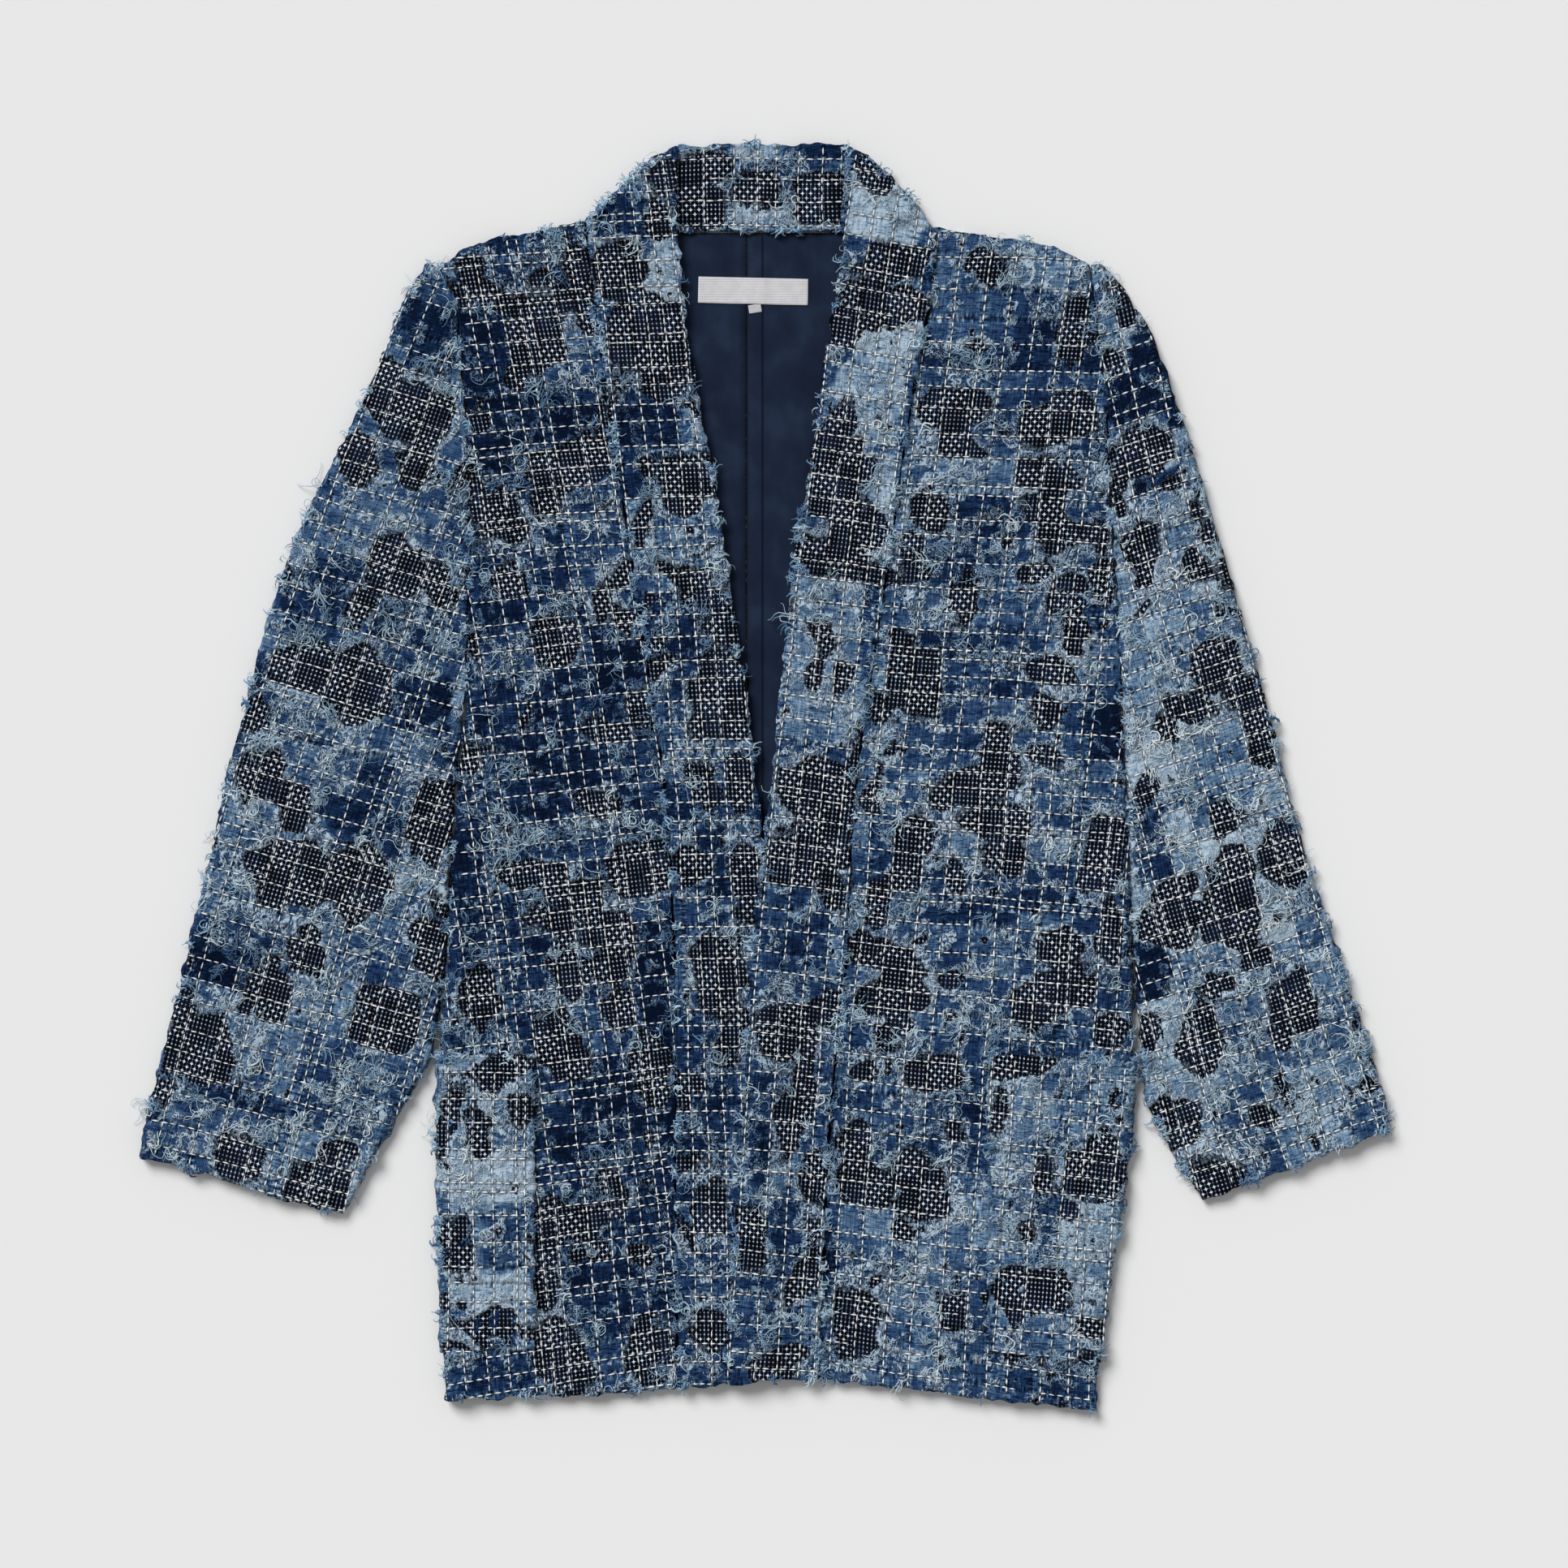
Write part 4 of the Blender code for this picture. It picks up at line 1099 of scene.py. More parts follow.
def shed_bunches(bm, layers, each, wanted):
    """About that many loose yarns on one panel."""
    chance = np.clip(each.worn.frayed - LEAST_FRAYED, 0, 1)
    chance *= wanted / (chance.sum() * sum(BUNCH) / len(BUNCH))
    lots = np.random.default_rng(int(each.seed)).random(len(chance))
    for index in np.nonzero(lots < chance)[0]:
        x, y = (float(value) for value in each.places[index])
        if not lies_open(each.panel.name, x * MM, y * MM):
            continue
        heading, steps, follow = start_bunch(each, index, x, y)
        tone = float(each.worn.tone[index]) * 0.40 + random.uniform(0.28, 0.72)
        curl = random.uniform(-CURL, CURL)
        for _ in range(random.choice(BUNCH)):
            walk_yarn(bm, layers, each, x + random.gauss(0, SPREAD), y + random.gauss(0, SPREAD),
                      heading + random.gauss(0, 0.22), tone + random.uniform(-0.18, 0.18),
                      steps + random.randint(-2, 2), curl + random.gauss(0, 0.12), follow)


# %% [markdown]
# The outline frays in clots: noise says where along it, and each clot is a bunch of short thick
# yarns that start just inside the edge and curl back towards it.

# %% Fray the outline
RIM_SPACING = 4.2      # mm of outline to each bunch, where it is frayed
RIM_LENGTH = 15        # mm of outline that is frayed or whole together
RIM_BUNCH = (4, 9)
RIM_STEPS = (2, 5)
RIM_CURL = (0.4, 1.1)
RIM_GIRTH = 1.65       # yarns at the outline are clotted, so they look thicker


def fray_the_rim(bm, layers, each):
    """Short yarns that stick out of a panel's outline, in bunches."""
    for x, y, way in each.rim:
        bunchy = 4.5 * noise.noise((x / RIM_LENGTH, y / RIM_LENGTH, each.seed + 4)) - 0.4
        if random.random() > bunchy * SQUARE / MM / RIM_SPACING:
            continue
        right, up = math.cos(way), math.sin(way)
        if not lies_open(each.panel.name, (x - right) * MM, (y - up) * MM):
            continue
        tone = random.uniform(0.2, 0.7)
        for _ in range(random.randint(*RIM_BUNCH)):
            start = random.uniform(0.5, 3.0)
            walk_yarn(bm, layers, each, x - start * right + random.gauss(0, SPREAD),
                      y - start * up + random.gauss(0, SPREAD), way + random.gauss(0, 0.75),
                      tone + random.uniform(-0.1, 0.25), random.randint(*RIM_STEPS),
                      random.choice((-1, 1)) * random.uniform(*RIM_CURL), 0, RIM_GIRTH)


# %% [markdown]
# A few tufts are much longer than the rest and hang over an edge at places that anyone would
# notice, so they are listed one by one: x and y, the way that they point in degrees, how many
# strands, and how far they reach.

# %% Place the tufts that hang over the edges
STRIDE = 2.2           # mm of reach to each step
Tuft = namedtuple("Tuft", "panel x y heading strands reach")
TUFTS = [
    Tuft("band_left", 12, 182, 150, 34, 14),
    Tuft("band_left", 50, 340, 200, 26, 16),
    Tuft("band_right", -22, 178, 40, 24, 12),
    Tuft("sleeve_right", -258, 290, 125, 22, 13),
    Tuft("sleeve_left", 412, -218, -35, 20, 11),
    Tuft("sleeve_left", 388, -182, 20, 20, 12),
    Tuft("sleeve_right", -214, 338, 110, 26, 9),
    Tuft("sleeve_left", 218, 336, 70, 26, 9),
]


def add_tufts(bm, layers, each):
    """Bunches of longer yarn at named places, most of them on an edge."""
    for tuft in TUFTS:
        if tuft.panel != each.panel.name:
            continue
        for _ in range(tuft.strands):
            x = tuft.x + random.gauss(0, 3.0)
            y = tuft.y + random.gauss(0, 4.5)
            heading = math.radians(tuft.heading) + random.gauss(0, 0.45)
            steps = max(3, round(tuft.reach / STRIDE * random.uniform(0.6, 1.15)))
            walk_yarn(bm, layers, each, x, y, heading, random.uniform(0.55, 1.0), steps,
                      random.uniform(-0.4, 0.4), 0.15)


# %% Grow every panel's yarns
def add_yarns(each):
    """All the loose yarns of one panel, as one mesh."""
    bm = bmesh.new()
    layers = (bm.verts.layers.float.new("thickness"), bm.verts.layers.float.new("tone"))
    shed_bunches(bm, layers, each, YARNS * each.panel.area / whole_area)
    add_tufts(bm, layers, each)
    fray_the_rim(bm, layers, each)
    return grow(keep_mesh(bm, "walks"), grow_yarn, "yarns_" + each.panel.name)


whole_area = sum(panel.area for panel in PANELS)
yarns = [add_yarns(each) for each in laid]
print("yarn faces:", [len(piece.data.polygons) for piece in yarns])


# %% [markdown]
# ## Finishes
# Every finish is worked out by nodes from the cloth's own weave direction or from the garment's
# own frame, so no image is used, though the boro finish paints some shade into its colour. A
# small helper adds the nodes: each of its methods makes one node, joins it up and gives back
# its output, and the finishes below then read like sums. Sizes in them are mm.

# %% Turn a usual colour into a linear one
def linear(red, green, blue):
    """A colour given from 0 to 255, as Blender's linear colour."""
    parts = [value / 255 for value in (red, green, blue)]
    return [part / 12.92 if part < 0.04 else ((part + 0.055) / 1.055) ** 2.4
            for part in parts] + [1]


print("mid grey as a linear colour:", [round(part, 3) for part in linear(128, 128, 128)])


# %% A helper that builds finishes
DULL = 0.04            # cotton hardly shines


class Finish:
    """A new material and the means to wire it."""

    def __init__(self, name, roughness=0.9, sheen=0.0):
        self.material = bpy.data.materials.new(name)
        self.material.use_nodes = True
        self.nodes = self.material.node_tree.nodes
        self.links = self.material.node_tree.links
        self.shader = self.nodes["Principled BSDF"]
        self.shader.inputs["Roughness"].default_value = roughness
        self.shader.inputs["Specular IOR Level"].default_value = DULL
        self.shader.inputs["Sheen Weight"].default_value = sheen

    def put(self, socket, value):
        """Join a socket up, or set it to a fixed value."""
        if isinstance(value, bpy.types.NodeSocket):
            self.links.new(value, socket)
        else:
            socket.default_value = value

    def sum(self, operation, *values):
        node = self.nodes.new("ShaderNodeMath")
        node.operation = operation
        for socket, value in zip(node.inputs, values):
            self.put(socket, value)
        return node.outputs[0]

    def step(self, value, low, high, to_low=0.0, to_high=1.0):
        """Soft step from one value to another as the input goes from low to high."""
        node = self.nodes.new("ShaderNodeMapRange")
        node.interpolation_type = "SMOOTHSTEP"
        for name, given in (("Value", value), ("From Min", low), ("From Max", high),
                            ("To Min", to_low), ("To Max", to_high)):
            self.put(node.inputs[name], given)
        return node.outputs[0]

    def blend(self, share, first, second, mode="MIX"):
        node = self.nodes.new("ShaderNodeMix")
        node.data_type = "RGBA"
        node.blend_type = mode
        node.clamp_factor = True
        self.put(node.inputs[0], share)
        self.put(node.inputs[6], first)
        self.put(node.inputs[7], second)
        return node.outputs[2]

    def tint(self, value, stops):
        """A colour from a scale of (place, red, green, blue)."""
        node = self.nodes.new("ShaderNodeValToRGB")
        scale = node.color_ramp.elements
        while len(scale) < len(stops):
            scale.new(0.5)
        for element, (place, *colour) in zip(scale, stops):
            element.position = place
            element.color = linear(*colour)
        self.put(node.inputs[0], value)
        return node.outputs[0]

    def grain(self, place, across, up, shift=0.0, detail=2.0, twist=0.0):
        """Noise whose blobs are that many mm across and up."""
        place = self.scaled(place, 1 / across, 1 / up, shift)
        node = self.nodes.new("ShaderNodeTexNoise")
        node.noise_dimensions = "2D"
        node.inputs["Scale"].default_value = 1.0
        node.inputs["Detail"].default_value = detail
        node.inputs["Distortion"].default_value = twist
        self.put(node.inputs["Vector"], place)
        return node.outputs[0]

    def scaled(self, place, across, up, shift=0.0):
        node = self.nodes.new("ShaderNodeVectorMath")
        node.operation = "MULTIPLY_ADD"
        self.put(node.inputs[0], place)
        node.inputs[1].default_value = (across, up, 1)
        node.inputs[2].default_value = (shift, shift * 1.7, 0)
        return node.outputs[0]

    def split(self, place):
        node = self.nodes.new("ShaderNodeSeparateXYZ")
        self.put(node.inputs[0], place)
        return node.outputs[0], node.outputs[1]

    def emboss(self, height, depth, strength=1.0):
        """Bump of that many mm."""
        node = self.nodes.new("ShaderNodeBump")
        node.inputs["Distance"].default_value = depth * MM
        node.inputs["Strength"].default_value = strength
        self.put(node.inputs["Height"], height)
        self.links.new(node.outputs[0], self.shader.inputs["Normal"])

    def dye(self, colour):
        self.put(self.shader.inputs["Base Color"], colour)
        return self.material


def on_cloth(finish):
    """Place on the cloth in mm, from its UV map."""
    node = finish.nodes.new("ShaderNodeUVMap")
    node.uv_map = "UVMap"
    return finish.scaled(node.outputs[0], 1 / MM, 1 / MM)


def on_solid(finish):
    """Place in the garment's own frame in mm."""
    node = finish.nodes.new("ShaderNodeTexCoord")
    return finish.scaled(node.outputs["Object"], 1 / MM, 1 / MM)


def carried(finish, name):
    """An attribute of the mesh: colour, number and alpha outputs."""
    node = finish.nodes.new("ShaderNodeAttribute")
    node.attribute_name = name
    return node.outputs["Color"], node.outputs["Fac"], node.outputs["Alpha"]


# %% [markdown]
# The printed cotton is almost black indigo. Its print is a lattice of pin dots with faint lines
# down it. In every other block of the lattice, every second dot grows into a small four-pointed
# star, the cross that old kasuri cottons have, so blocks of crosses and plain blocks make a
# large check. It is charted here from five sizes.

# %% The printed cotton
LATTICE = (2.7, 2.95)  # mm from one dot to the next, across and up
BLOCK = 7              # dots along each side of a block
CROSS_REACH = 1.85     # mm from a cross's middle to its point
DOT = 0.5              # radius of a dot
PRINT_LINE = 0.3


def printed_cotton(finish, place):
    """Colour of the printed cotton."""
    across, up = finish.split(place)
    column = finish.sum("DIVIDE", across, LATTICE[0])
    row = finish.sum("DIVIDE", up, LATTICE[1])
    whole_column = finish.sum("FLOOR", column)
    whole_row = finish.sum("FLOOR", row)
    from_middle = []
    for value, pitch in ((column, LATTICE[0]), (row, LATTICE[1])):
        part = finish.sum("SUBTRACT", finish.sum("FRACT", value), 0.5)
        from_middle.append(finish.sum("MULTIPLY", finish.sum("ABSOLUTE", part), pitch))
    beside, above = from_middle
    arms = finish.sum("ADD", *[finish.sum("POWER", finish.sum("DIVIDE", value, CROSS_REACH), 0.50)
                               for value in from_middle])
    cross = finish.step(arms, 1.12, 0.90)
    every_second = finish.sum("FLOORED_MODULO", finish.sum("ADD", whole_column, whole_row), 2.0)
    blocks = [finish.sum("FLOOR", finish.sum("DIVIDE", value, float(BLOCK)))
              for value in (whole_column, whole_row)]
    in_block = finish.sum("FLOORED_MODULO", finish.sum("ADD", *blocks), 2.0)
    cross = finish.sum("MULTIPLY", cross, finish.sum("MULTIPLY", every_second, in_block))
    distance = finish.sum("SQRT", finish.sum("ADD", finish.sum("POWER", beside, 2.0),
                                             finish.sum("POWER", above, 2.0)))
    faint = finish.grain(place, 9, 9, 4.1)
    dot = finish.sum("MULTIPLY", finish.step(distance, DOT + 0.2, DOT - 0.2),
                     finish.step(faint, 0.3, 0.65, 0.25, 1.0))
    dot = finish.sum("MULTIPLY", dot, finish.sum("MULTIPLY_ADD", in_block, -0.7, 1.0))
    lined = finish.step(finish.grain(place, 5, 60, 6.6), 0.42, 0.62, 0.10, 0.75)
    line = finish.sum("MULTIPLY", finish.step(beside, PRINT_LINE + 0.1, PRINT_LINE - 0.2), lined)
    ground = finish.tint(finish.grain(place, 26, 26, 9.3),
                         [(0.3, 3, 5, 12), (0.55, 6, 9, 20), (0.75, 14, 22, 40)])
    colour = finish.blend(line, ground, linear(72, 97, 130))
    colour = finish.blend(dot, colour, linear(186, 196, 210))
    worn = finish.step(finish.grain(place, 5, 5, 2.2), 0.22, 0.42, 0.6, 1.0)
    return finish.blend(finish.sum("MULTIPLY", cross, worn), colour, linear(216, 226, 239))


# %% [markdown]
# The sheeting was all dyed with indigo, and each piece has faded by its own amount. The dye
# wears off first where the cloth rubs, which is on the puckers beside the stitches, so those
# are barred and paler, and the middles of the cells stay dark. Along a tear the weft is gone
# and a pale fringe is left. Over frayed cloth, broken yarns curl in layers too fine to model,
# so thin bright lines are drawn where noise crosses its middle value. Shade is painted in as
# well: in the gaps beside those lines, in the small creases, on the cloth right beside the
# stitches, and on the printed cotton just inside each tear's edge.

# %% The boro cloth
INDIGO = [(0.0, 4, 15, 36), (0.15, 12, 29, 57), (0.32, 25, 48, 84), (0.5, 48, 75, 109),
          (0.68, 87, 115, 143), (0.85, 132, 156, 177), (1.0, 172, 190, 205)]
FRAY_LINES = [(7.5, 0.050, 1.0), (5.0, 0.055, 5.0), (10.0, 0.040, 11.0)]
WARP = 0.42            # how much the tone changes from warp slub to warp slub
WEFT = 0.34
CLOUD = 0.26           # from one cloudy place to the next
BARS = 1.7             # and from bar to bar beside the stitches
LINE_LIGHT = 0.50      # how much paler the finest loose yarns are
FRINGE_LIGHT = 0.27    # and the fringe along a tear
# Painted shade: how much the colour is darkened in the small creases.
CREASE_SHADE_DARK = 0.22    # how much darker the small creases are
# Painted shadow: how much the colour is darkened in the gaps beside the loose yarn lines.
YARN_GAP_SHADE = 0.26        # and the gaps between loose yarns
LOOSE_BLUE = (120, 143, 168)
# Colour of the painted shade laid on the printed cotton just inside a tear's edge.
LIP_SHADE = (4, 6, 14)


def centred(finish, value, amount, onto):
    """Add a noise, less its middle value and times an amount, on to another value."""
    return finish.sum("MULTIPLY_ADD", finish.sum("SUBTRACT", value, 0.5), amount, onto)


def curling_lines(finish, place, amount):
    """Thin curly lines where frayed, and the painted shadow in the gaps beside them: both 0 to 1,
    soft.
    """
    lines, yarn_gap_shadow = 0.0, 0.0
    for size, width, shift in FRAY_LINES:
        value = finish.grain(place, size, size * 1.25, shift, 1.5, 1.6)
        off = finish.sum("ABSOLUTE", finish.sum("SUBTRACT", value, 0.5))
        lines = finish.sum("MAXIMUM", lines, finish.step(off, width, width * 0.35))
        # Painted shadow: a band just beside each curly line, darkened in the colour later.
        yarn_gap_shadow = finish.sum("MAXIMUM", yarn_gap_shadow, finish.step(off, width * 3.2, width * 1.2))
    patchy = centred(finish, finish.grain(place, 7, 7, 7.7), 0.55, amount)
    patchy = finish.step(patchy, 0.42, 0.62)
    yarn_gap_shadow = finish.sum("MULTIPLY", yarn_gap_shadow, finish.sum("SUBTRACT", 1.0, lines))
    return [finish.sum("MULTIPLY", value, patchy) for value in (lines, yarn_gap_shadow)]


def painted_crease_shade(finish, place, from_column, from_row):
    """How much painted shade darkens the small creases that the stitches gather: 0 to 1."""
    along_rows = finish.grain(place, 7.5, 1.7, 27.0, 2.0, 1.2)
    along_columns = finish.grain(place, 1.8, 8.0, 29.0, 2.0, 1.2)
    near_row = finish.step(from_row, 5.0, 0.8)
    elsewhere = finish.sum("SUBTRACT", 1.0, near_row)
    first = finish.sum("MULTIPLY", finish.step(along_rows, 0.50, 0.36), elsewhere)
    second = finish.sum("MULTIPLY", finish.step(along_columns, 0.47, 0.33), near_row)
    return finish.sum("MAXIMUM", first, second)


def sheeting_tone(finish, place, tone, frayed, from_column, from_row):
    """Tone of the sheeting with its warp, weft, clouds, and the bars beside the stitches."""
    by_column = finish.step(from_column, 5.0, 0.4)
    by_row = finish.step(from_row, 5.0, 0.4)
    tone = centred(finish, finish.grain(place, 0.9, 18, 3.0), WARP, tone)
    tone = centred(finish, finish.grain(place, 14, 0.9, 6.0), WEFT, tone)
    tone = centred(finish, finish.grain(place, 28, 22, 12.0), CLOUD, tone)
    for near, across, up, shift in ((by_column, 6.5, 1.9, 8.0), (by_row, 1.9, 6.5, 9.0)):
        bars = finish.grain(place, across, up, shift)
        tone = centred(finish, bars, finish.sum("MULTIPLY", near, BARS), tone)
    nearer = finish.sum("MAXIMUM", by_column, by_row)
    tone = finish.sum("MULTIPLY_ADD", nearer, 0.08, finish.sum("SUBTRACT", tone, 0.01))
    return finish.sum("MULTIPLY_ADD", finish.step(frayed, 0.35, 0.75), 0.06, tone)


def boro(finish, place, torn, tone, frayed, from_column, from_row, stitches=None):
    """Wire a boro cloth from its wear, in mm and shares."""
    torn = centred(finish, finish.grain(place, 2.2, 2.6, 14.0, 3.0), 4.5, torn)
    tone = sheeting_tone(finish, place, tone, frayed, from_column, from_row)
    lines, yarn_gap_shadow = curling_lines(finish, place, frayed)
    fringe = finish.sum("MULTIPLY", finish.step(torn, -2.2, -0.5),
                        finish.step(finish.grain(place, 1.1, 4.0, 17.0), 0.38, 0.58))
    light = finish.sum("ADD", finish.sum("MULTIPLY", lines, LINE_LIGHT),
                       finish.sum("MULTIPLY", fringe, FRINGE_LIGHT))
    # Painted shade in the small creases, as a darkening of the colour.
    crease_shadow_mask = painted_crease_shade(finish, place, from_column, from_row)
    # Painted shade in the creases and painted shadow between yarns, taken off the tone.
    painted_shade = finish.sum("MAXIMUM", finish.sum("MULTIPLY", crease_shadow_mask, CREASE_SHADE_DARK),
                      finish.sum("MULTIPLY", yarn_gap_shadow, YARN_GAP_SHADE))
    light = finish.sum("SUBTRACT", light, painted_shade)
    sheeting = finish.tint(finish.sum("ADD", tone, light), INDIGO)
    gone = finish.step(torn, -0.25, 0.30)
    colour = finish.blend(gone, sheeting, printed_cotton(finish, place))
    loose = finish.sum("MULTIPLY", lines, finish.step(torn, 3.5, 0.5, 0.0, 0.8))
    colour = finish.blend(finish.sum("MULTIPLY", loose, gone), colour, linear(*LOOSE_BLUE))
    from_stitch = finish.sum("MINIMUM", from_column, from_row)
    # Painted shade: within about 2 mm of a stitched line the colour is darkened, down to half, as the
    # groove would shade it.
    shade = finish.step(from_stitch, 0.7, 1.9, 0.50, 1.0)
    colour = finish.blend(1.0, colour, shade, "MULTIPLY")
    # Painted shade on the printed cotton just inside a tear's edge, where the sheeting's lip would
    # shade it.
    tear_edge_shade = finish.sum("MULTIPLY", finish.step(torn, 2.4, 0.3), gone)
    colour = finish.blend(finish.sum("MULTIPLY", tear_edge_shade, 0.55), colour, linear(*LIP_SHADE))
    if stitches is not None:
        colour = finish.blend(stitches, colour, linear(214, 223, 232))
    weave = finish.sum("ADD", finish.grain(place, 0.7, 2.4, 21.0, 0.0),
                       finish.grain(place, 2.4, 0.7, 23.0, 0.0))
    height = finish.sum("MULTIPLY_ADD", lines, 1.2, finish.sum("MULTIPLY", weave, 0.45))
    height = finish.sum("MULTIPLY_ADD", finish.grain(place, 4.2, 4.2, 8.0, 3.0, 0.4), 1.1, height)
    height = finish.sum("SUBTRACT", height, finish.sum("MULTIPLY", gone, 1.3))
    finish.emboss(height, 0.6)
    return finish.dye(colour)


# %% Make the boro finishes
BEHIND_GAP = 15.5      # mm between stitched lines where nobody looks
BEHIND_STITCH = 5.7    # and from stitch to stitch


def make_boro():
    """The cloth that shows: its wear comes from the mesh."""
    finish = Finish("boro", roughness=0.95, sheen=0.02)
    channels = []
    for name in ("wear", "sewn"):
        node = finish.nodes.new("ShaderNodeSeparateColor")
        finish.put(node.inputs[0], carried(finish, name)[0])
        channels += node.outputs[:3]
    torn = finish.sum("MULTIPLY", finish.sum("SUBTRACT", channels[0], 0.5), TORN_REACH)
    from_column = finish.sum("MULTIPLY", channels[3], SEWN_REACH)
    from_row = finish.sum("MULTIPLY", channels[4], SEWN_REACH)
    return boro(finish, on_cloth(finish), torn, channels[1], channels[2], from_column, from_row)


def make_boro_behind(name, find_place):
    """The same cloth where nobody looks: wear and stitches are worked out from noise."""
    finish = Finish(name, roughness=0.95, sheen=0.02)
    place = find_place(finish)
    torn = finish.step(finish.grain(place, 38, 38, 31.0), 0.50, 0.72, -9.0, 12.0)
    tone = finish.step(finish.grain(place, 44, 60, 37.0), 0.25, 0.75, 0.15, 0.6)
    frayed = finish.step(finish.grain(place, 24, 24, 41.0), 0.35, 0.75, 0.0, 0.8)
    across, up = finish.split(place)
    offs, stitches = [], 0.0
    for value, along in ((across, up), (up, across)):
        part, dash = (
            finish.sum("SUBTRACT", finish.sum("FRACT", finish.sum("DIVIDE", way, gap)), 0.5)
            for way, gap in ((value, BEHIND_GAP), (along, BEHIND_STITCH)))
        off = finish.sum("MULTIPLY", finish.sum("ABSOLUTE", part), BEHIND_GAP)
        reach = finish.sum("ABSOLUTE", dash)
        line = finish.sum("MULTIPLY", finish.step(off, 0.75, 0.5), finish.step(reach, 0.38, 0.34))
        stitches = finish.sum("MAXIMUM", stitches, line)
        offs.append(off)
    return boro(finish, place, torn, tone, frayed, *offs, stitches=stitches)


boro_cloth = make_boro()
boro_behind = make_boro_behind("boro_behind", on_cloth)
boro_back = make_boro_behind("boro_back", on_solid)
print("nodes in the boro finish:", len(boro_cloth.node_tree.nodes))

# %% [markdown]
# The lining is navy twill, whose fine ribs climb to the right. The label and the size tab are
# woven satin, bare and nearly white. Stitches are bright cotton, and the loose yarns carry their
# own tone, so a pale yarn can lie on dark cloth.

# %% The lining, label and thread
SEAM_LINES = (-11.3, -1.0)     # x of the two rows that fell the back seam
RIB_SLOPE = (4.6, -5.6)        # radians of rib for each mm across and up
NAVY = [(0.25, 20, 29, 47), (0.5, 27, 37, 57), (0.75, 36, 48, 70)]


def make_twill():
    finish = Finish("lining_twill", roughness=0.85, sheen=0.02)
    place = on_solid(finish)
    across, up = finish.split(place)
    slope = finish.sum("ADD", finish.sum("MULTIPLY", across, RIB_SLOPE[0]),
                       finish.sum("MULTIPLY", up, RIB_SLOPE[1]))
    rib = finish.sum("SINE", slope)
    cloud = finish.grain(place, 20, 26, 2.0, 3.0)
    colour = finish.tint(cloud, NAVY)
    colour = finish.blend(finish.step(rib, -1.0, 1.0, 0.0, 0.2), colour, linear(52, 66, 92))
    slub = finish.grain(place, 0.8, 9, 5.0)
    seam = 0.0
    for line in SEAM_LINES:
        off = finish.sum("ABSOLUTE", finish.sum("SUBTRACT", across, line))
        seam = finish.sum("MAXIMUM", seam, finish.step(off, 1.1, 0.3))
    colour = finish.blend(finish.sum("MULTIPLY", seam, 0.65), colour, linear(13, 19, 33))
    weave = finish.sum("MULTIPLY_ADD", slub, 1.2, rib)
    finish.emboss(finish.sum("MULTIPLY_ADD", seam, -8.0, weave), 0.12)
    return finish.dye(colour)


def make_satin(name, colour, pitch):
    """Bare woven satin, with ribs that many mm apart."""
    finish = Finish(name, roughness=0.45, sheen=0.1)
    place = on_solid(finish)
    across, up = finish.split(place)
    ribs = finish.sum("SINE", finish.sum("MULTIPLY", up, 2 * math.pi / pitch))
    threads = finish.sum("SINE", finish.sum("MULTIPLY", across, 2 * math.pi / (pitch * 0.6)))
    worn = finish.grain(place, 6, 6, 3.0, 3.0)
    shade = finish.step(worn, 0.2, 0.8, 0.90, 1.0)
    finish.emboss(finish.sum("ADD", ribs, finish.sum("MULTIPLY", threads, 0.5)), 0.08)
    return finish.dye(finish.blend(1.0, linear(*colour), shade, "MULTIPLY"))


def make_thread():
    finish = Finish("white_thread", roughness=0.8, sheen=0.15)
    place = on_solid(finish)
    colour = finish.tint(finish.grain(place, 12, 12, 1.0, 4.0),
                         [(0.3, 208, 217, 225), (0.5, 235, 240, 243), (0.7, 246, 248, 249)])
    return finish.dye(colour)


def make_yarn():
    """Each yarn's colour comes from the tone that its walk carries."""
    finish = Finish("loose_yarn", roughness=0.85, sheen=0.15)
    tone = carried(finish, "tone")[1]
    colour = finish.tint(tone, [(0.0, 36, 62, 98), (0.25, 66, 100, 140), (0.5, 114, 148, 178),
                                (0.75, 168, 194, 208), (1.0, 220, 230, 234)])
    return finish.dye(colour)


twill = make_twill()
label_satin = make_satin("label_satin", (218, 217, 220), 0.8)
tab_satin = make_satin("tab_satin", (206, 206, 210), 0.7)
white_thread = make_thread()
loose_yarn = make_yarn()
print("finishes:", len(bpy.data.materials))


# %% Dress every panel
def dress(piece, material, slot, nodes=()):
    """Give a piece its finish, put it under the root, and hide the solids that it stands for; the slot
    is not used.
    """
    piece.data.materials.clear()
    piece.data.materials.append(material)
    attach(piece, "root")
    if nodes:
        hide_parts(*nodes)


for each, stitches, loose in zip(laid, stitching, yarns):
    name = each.panel.name
    dress(each.cloth, boro_cloth, each.panel.slot, [name])
    each.cloth.data.materials.append(boro_behind)
    dress(stitches, white_thread, each.panel.slot)
    dress(loose, loose_yarn, each.panel.slot)

# %% [markdown]
# ## The plain pieces
# The lining shows only in the neck opening. It is a thin twill with small soft wrinkles. The
# label and the size tab lie on it, sewn on a little crooked. All four are laid like the boro,
# but with no wear.

# %% Lay the lining, the label and the size tab
Plain = namedtuple("Plain", "name slot lean square wall wrinkle turn material")
PLAIN = [
    Plain("lining_right", "lining_twill", (0, 0), 5.5, 2.4, 1.0, 0.0, twill),
    Plain("lining_left", "lining_twill", (0, 0), 5.5, 1.6, 1.0, 0.0, twill),
    Plain("label", "label_satin", (0, 0), 1.2, 0.6, 0.3, -1.3, label_satin),
    Plain("size_tab", "label_satin", (0, 0), 0.8, 0.5, 0.3, 9.0, tab_satin),
]


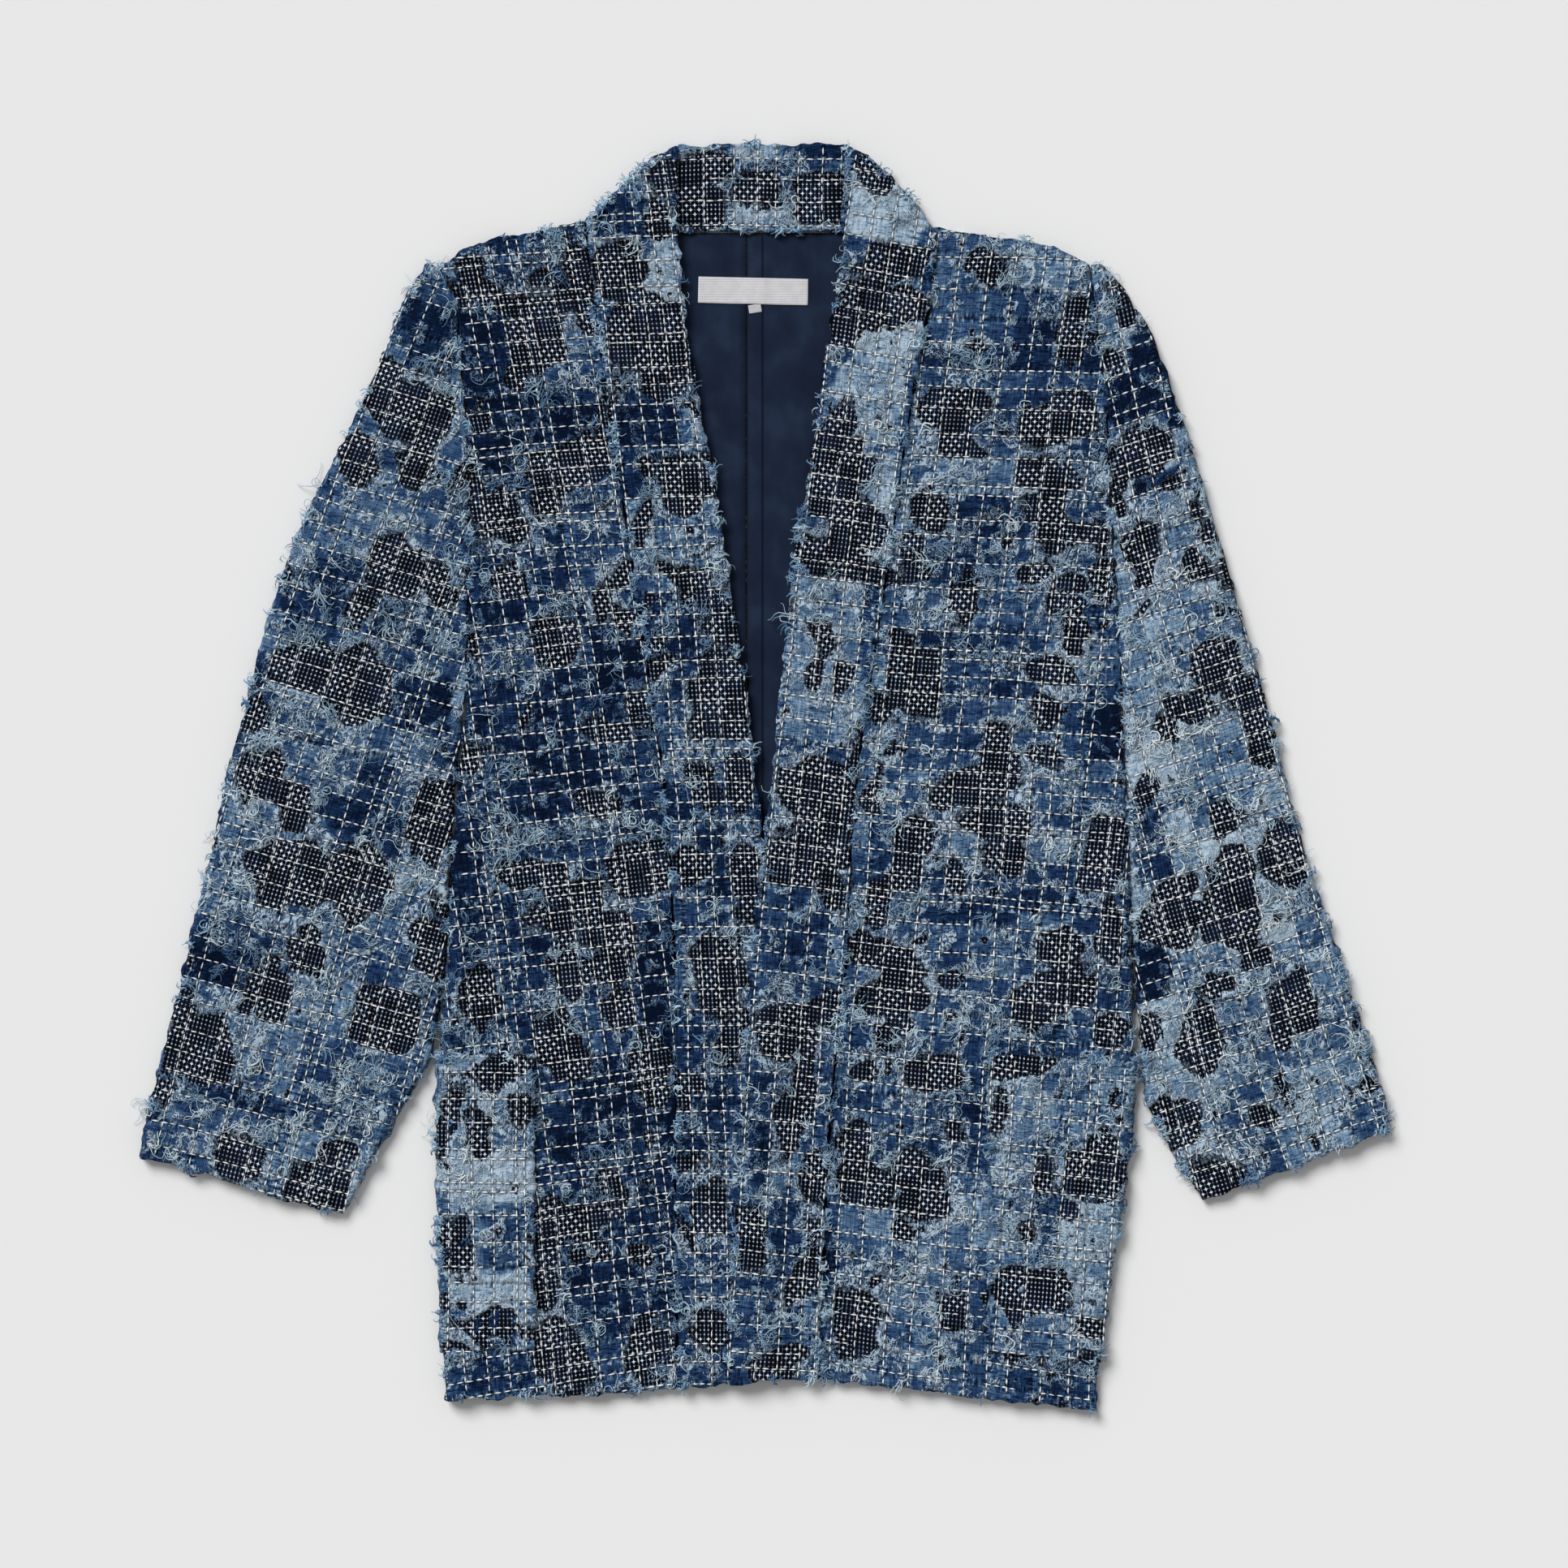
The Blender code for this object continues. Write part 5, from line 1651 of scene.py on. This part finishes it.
def lay_plain(plain):
    """Lay one piece of plain cloth, turned a little about its middle."""
    bm, _ = drop_grid(plain, plain.square * MM)
    ease_heights(bm)
    low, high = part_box(plain.name)
    turn = Matrix.Rotation(math.radians(plain.turn), 3, "Z")
    bmesh.ops.rotate(bm, cent=(low + high) / 2, matrix=turn, verts=bm.verts)
    x = np.array([vert.co.x for vert in bm.verts]) / MM
    y = np.array([vert.co.y for vert in bm.verts]) / MM
    lift = 0.35 * wander(x * 2.2, y * 0.7, 26, 61.0) + 0.25 * wander(x, y, 12, 62.0)
    for vert, height in zip(bm.verts, plain.wrinkle * lift):
        vert.co.z += height * MM
    turn_edges(bm, plain.wall, [])
    drop_layers(bm.verts.layers.float, ["under"])
    cloth = keep_mesh(bm, "cloth_" + plain.name)
    dress(cloth, plain.material, plain.slot, [plain.name])
    return cloth


plain_cloth = {plain.name: lay_plain(plain) for plain in PLAIN}
print("plain faces:", [len(cloth.data.polygons) for cloth in plain_cloth.values()])

# %% [markdown]
# ## The back
# The two halves of the back lie flat on the table beneath everything else, and only their
# edges and undersides show. Each is a welded copy of its solid in the boro finish.

# %% Lay the back
BACKS = {"back_right": (0.215, 0.785), "back_left": (0.250, 0.790)}
for name, flat in BACKS.items():
    bm = bmesh.new()
    bm.from_mesh(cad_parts[name].data)
    bmesh.ops.remove_doubles(bm, verts=bm.verts, dist=MERGE)
    half = keep_mesh(bm, "cloth_" + name)
    half.data.shade_flat()
    dress(half, boro_back, "boro_mid", [name])
    print(half.name, "faces:", len(half.data.polygons))

# %% [markdown]
# ## Table and light
# The jacket lies on a plain pale table, under one wide soft light that hangs a little to the
# upper left, with an even glow all round. The camera looks straight down.

# %% Set the table
FLOOR_SIDE = 40.0
FLOOR_DROP = 0.0005    # metres that it lies below the cloth
FLOOR_COLOUR = (0.80, 0.80, 0.80, 1)

bm = bmesh.new()
bmesh.ops.create_grid(bm, x_segments=1, y_segments=1, size=FLOOR_SIDE / 2)
floor = keep_mesh(bm, "floor")
floor.location.z = -FLOOR_DROP
paper = bpy.data.materials.new("paper")
paper.use_nodes = True
paper_shader = paper.node_tree.nodes["Principled BSDF"]
paper_shader.inputs["Base Color"].default_value = FLOOR_COLOUR
paper_shader.inputs["Roughness"].default_value = 0.95
floor.data.materials.append(paper)
print("floor side, m:", FLOOR_SIDE)

# %% Hang the lights and the camera
LIGHT_STRENGTH = 2.85
LIGHT_SPREAD = math.radians(30)
LIGHT_PLACE = Vector((-1.2, 1.6, 2.0))
GLOW = 0.36
CAMERA_PLACE = Vector((0.013, -0.0045, 2.897))
LENS = 100
SENSOR_WIDTH = 36

big_light = bpy.data.lights.new("big_light", "SUN")
big_light.energy = LIGHT_STRENGTH
big_light.angle = LIGHT_SPREAD
lamp = bpy.data.objects.new("big_light", big_light)
lamp.location = LIGHT_PLACE
lamp.rotation_euler = (-LIGHT_PLACE).to_track_quat("-Z", "Y").to_euler()
bpy.context.collection.objects.link(lamp)

world = bpy.data.worlds.new("glow")
world.use_nodes = True
background = world.node_tree.nodes["Background"]
background.inputs["Color"].default_value = (1, 1, 1, 1)
background.inputs["Strength"].default_value = GLOW
bpy.context.scene.world = world

lens = bpy.data.cameras.new("camera")
lens.lens = LENS
lens.sensor_width = SENSOR_WIDTH
camera = bpy.data.objects.new("camera", lens)
camera.location = CAMERA_PLACE
bpy.context.collection.objects.link(camera)
bpy.context.scene.camera = camera
bpy.context.scene.view_settings.view_transform = "Standard"
print("camera over the table, m:", round(CAMERA_PLACE.z, 3))
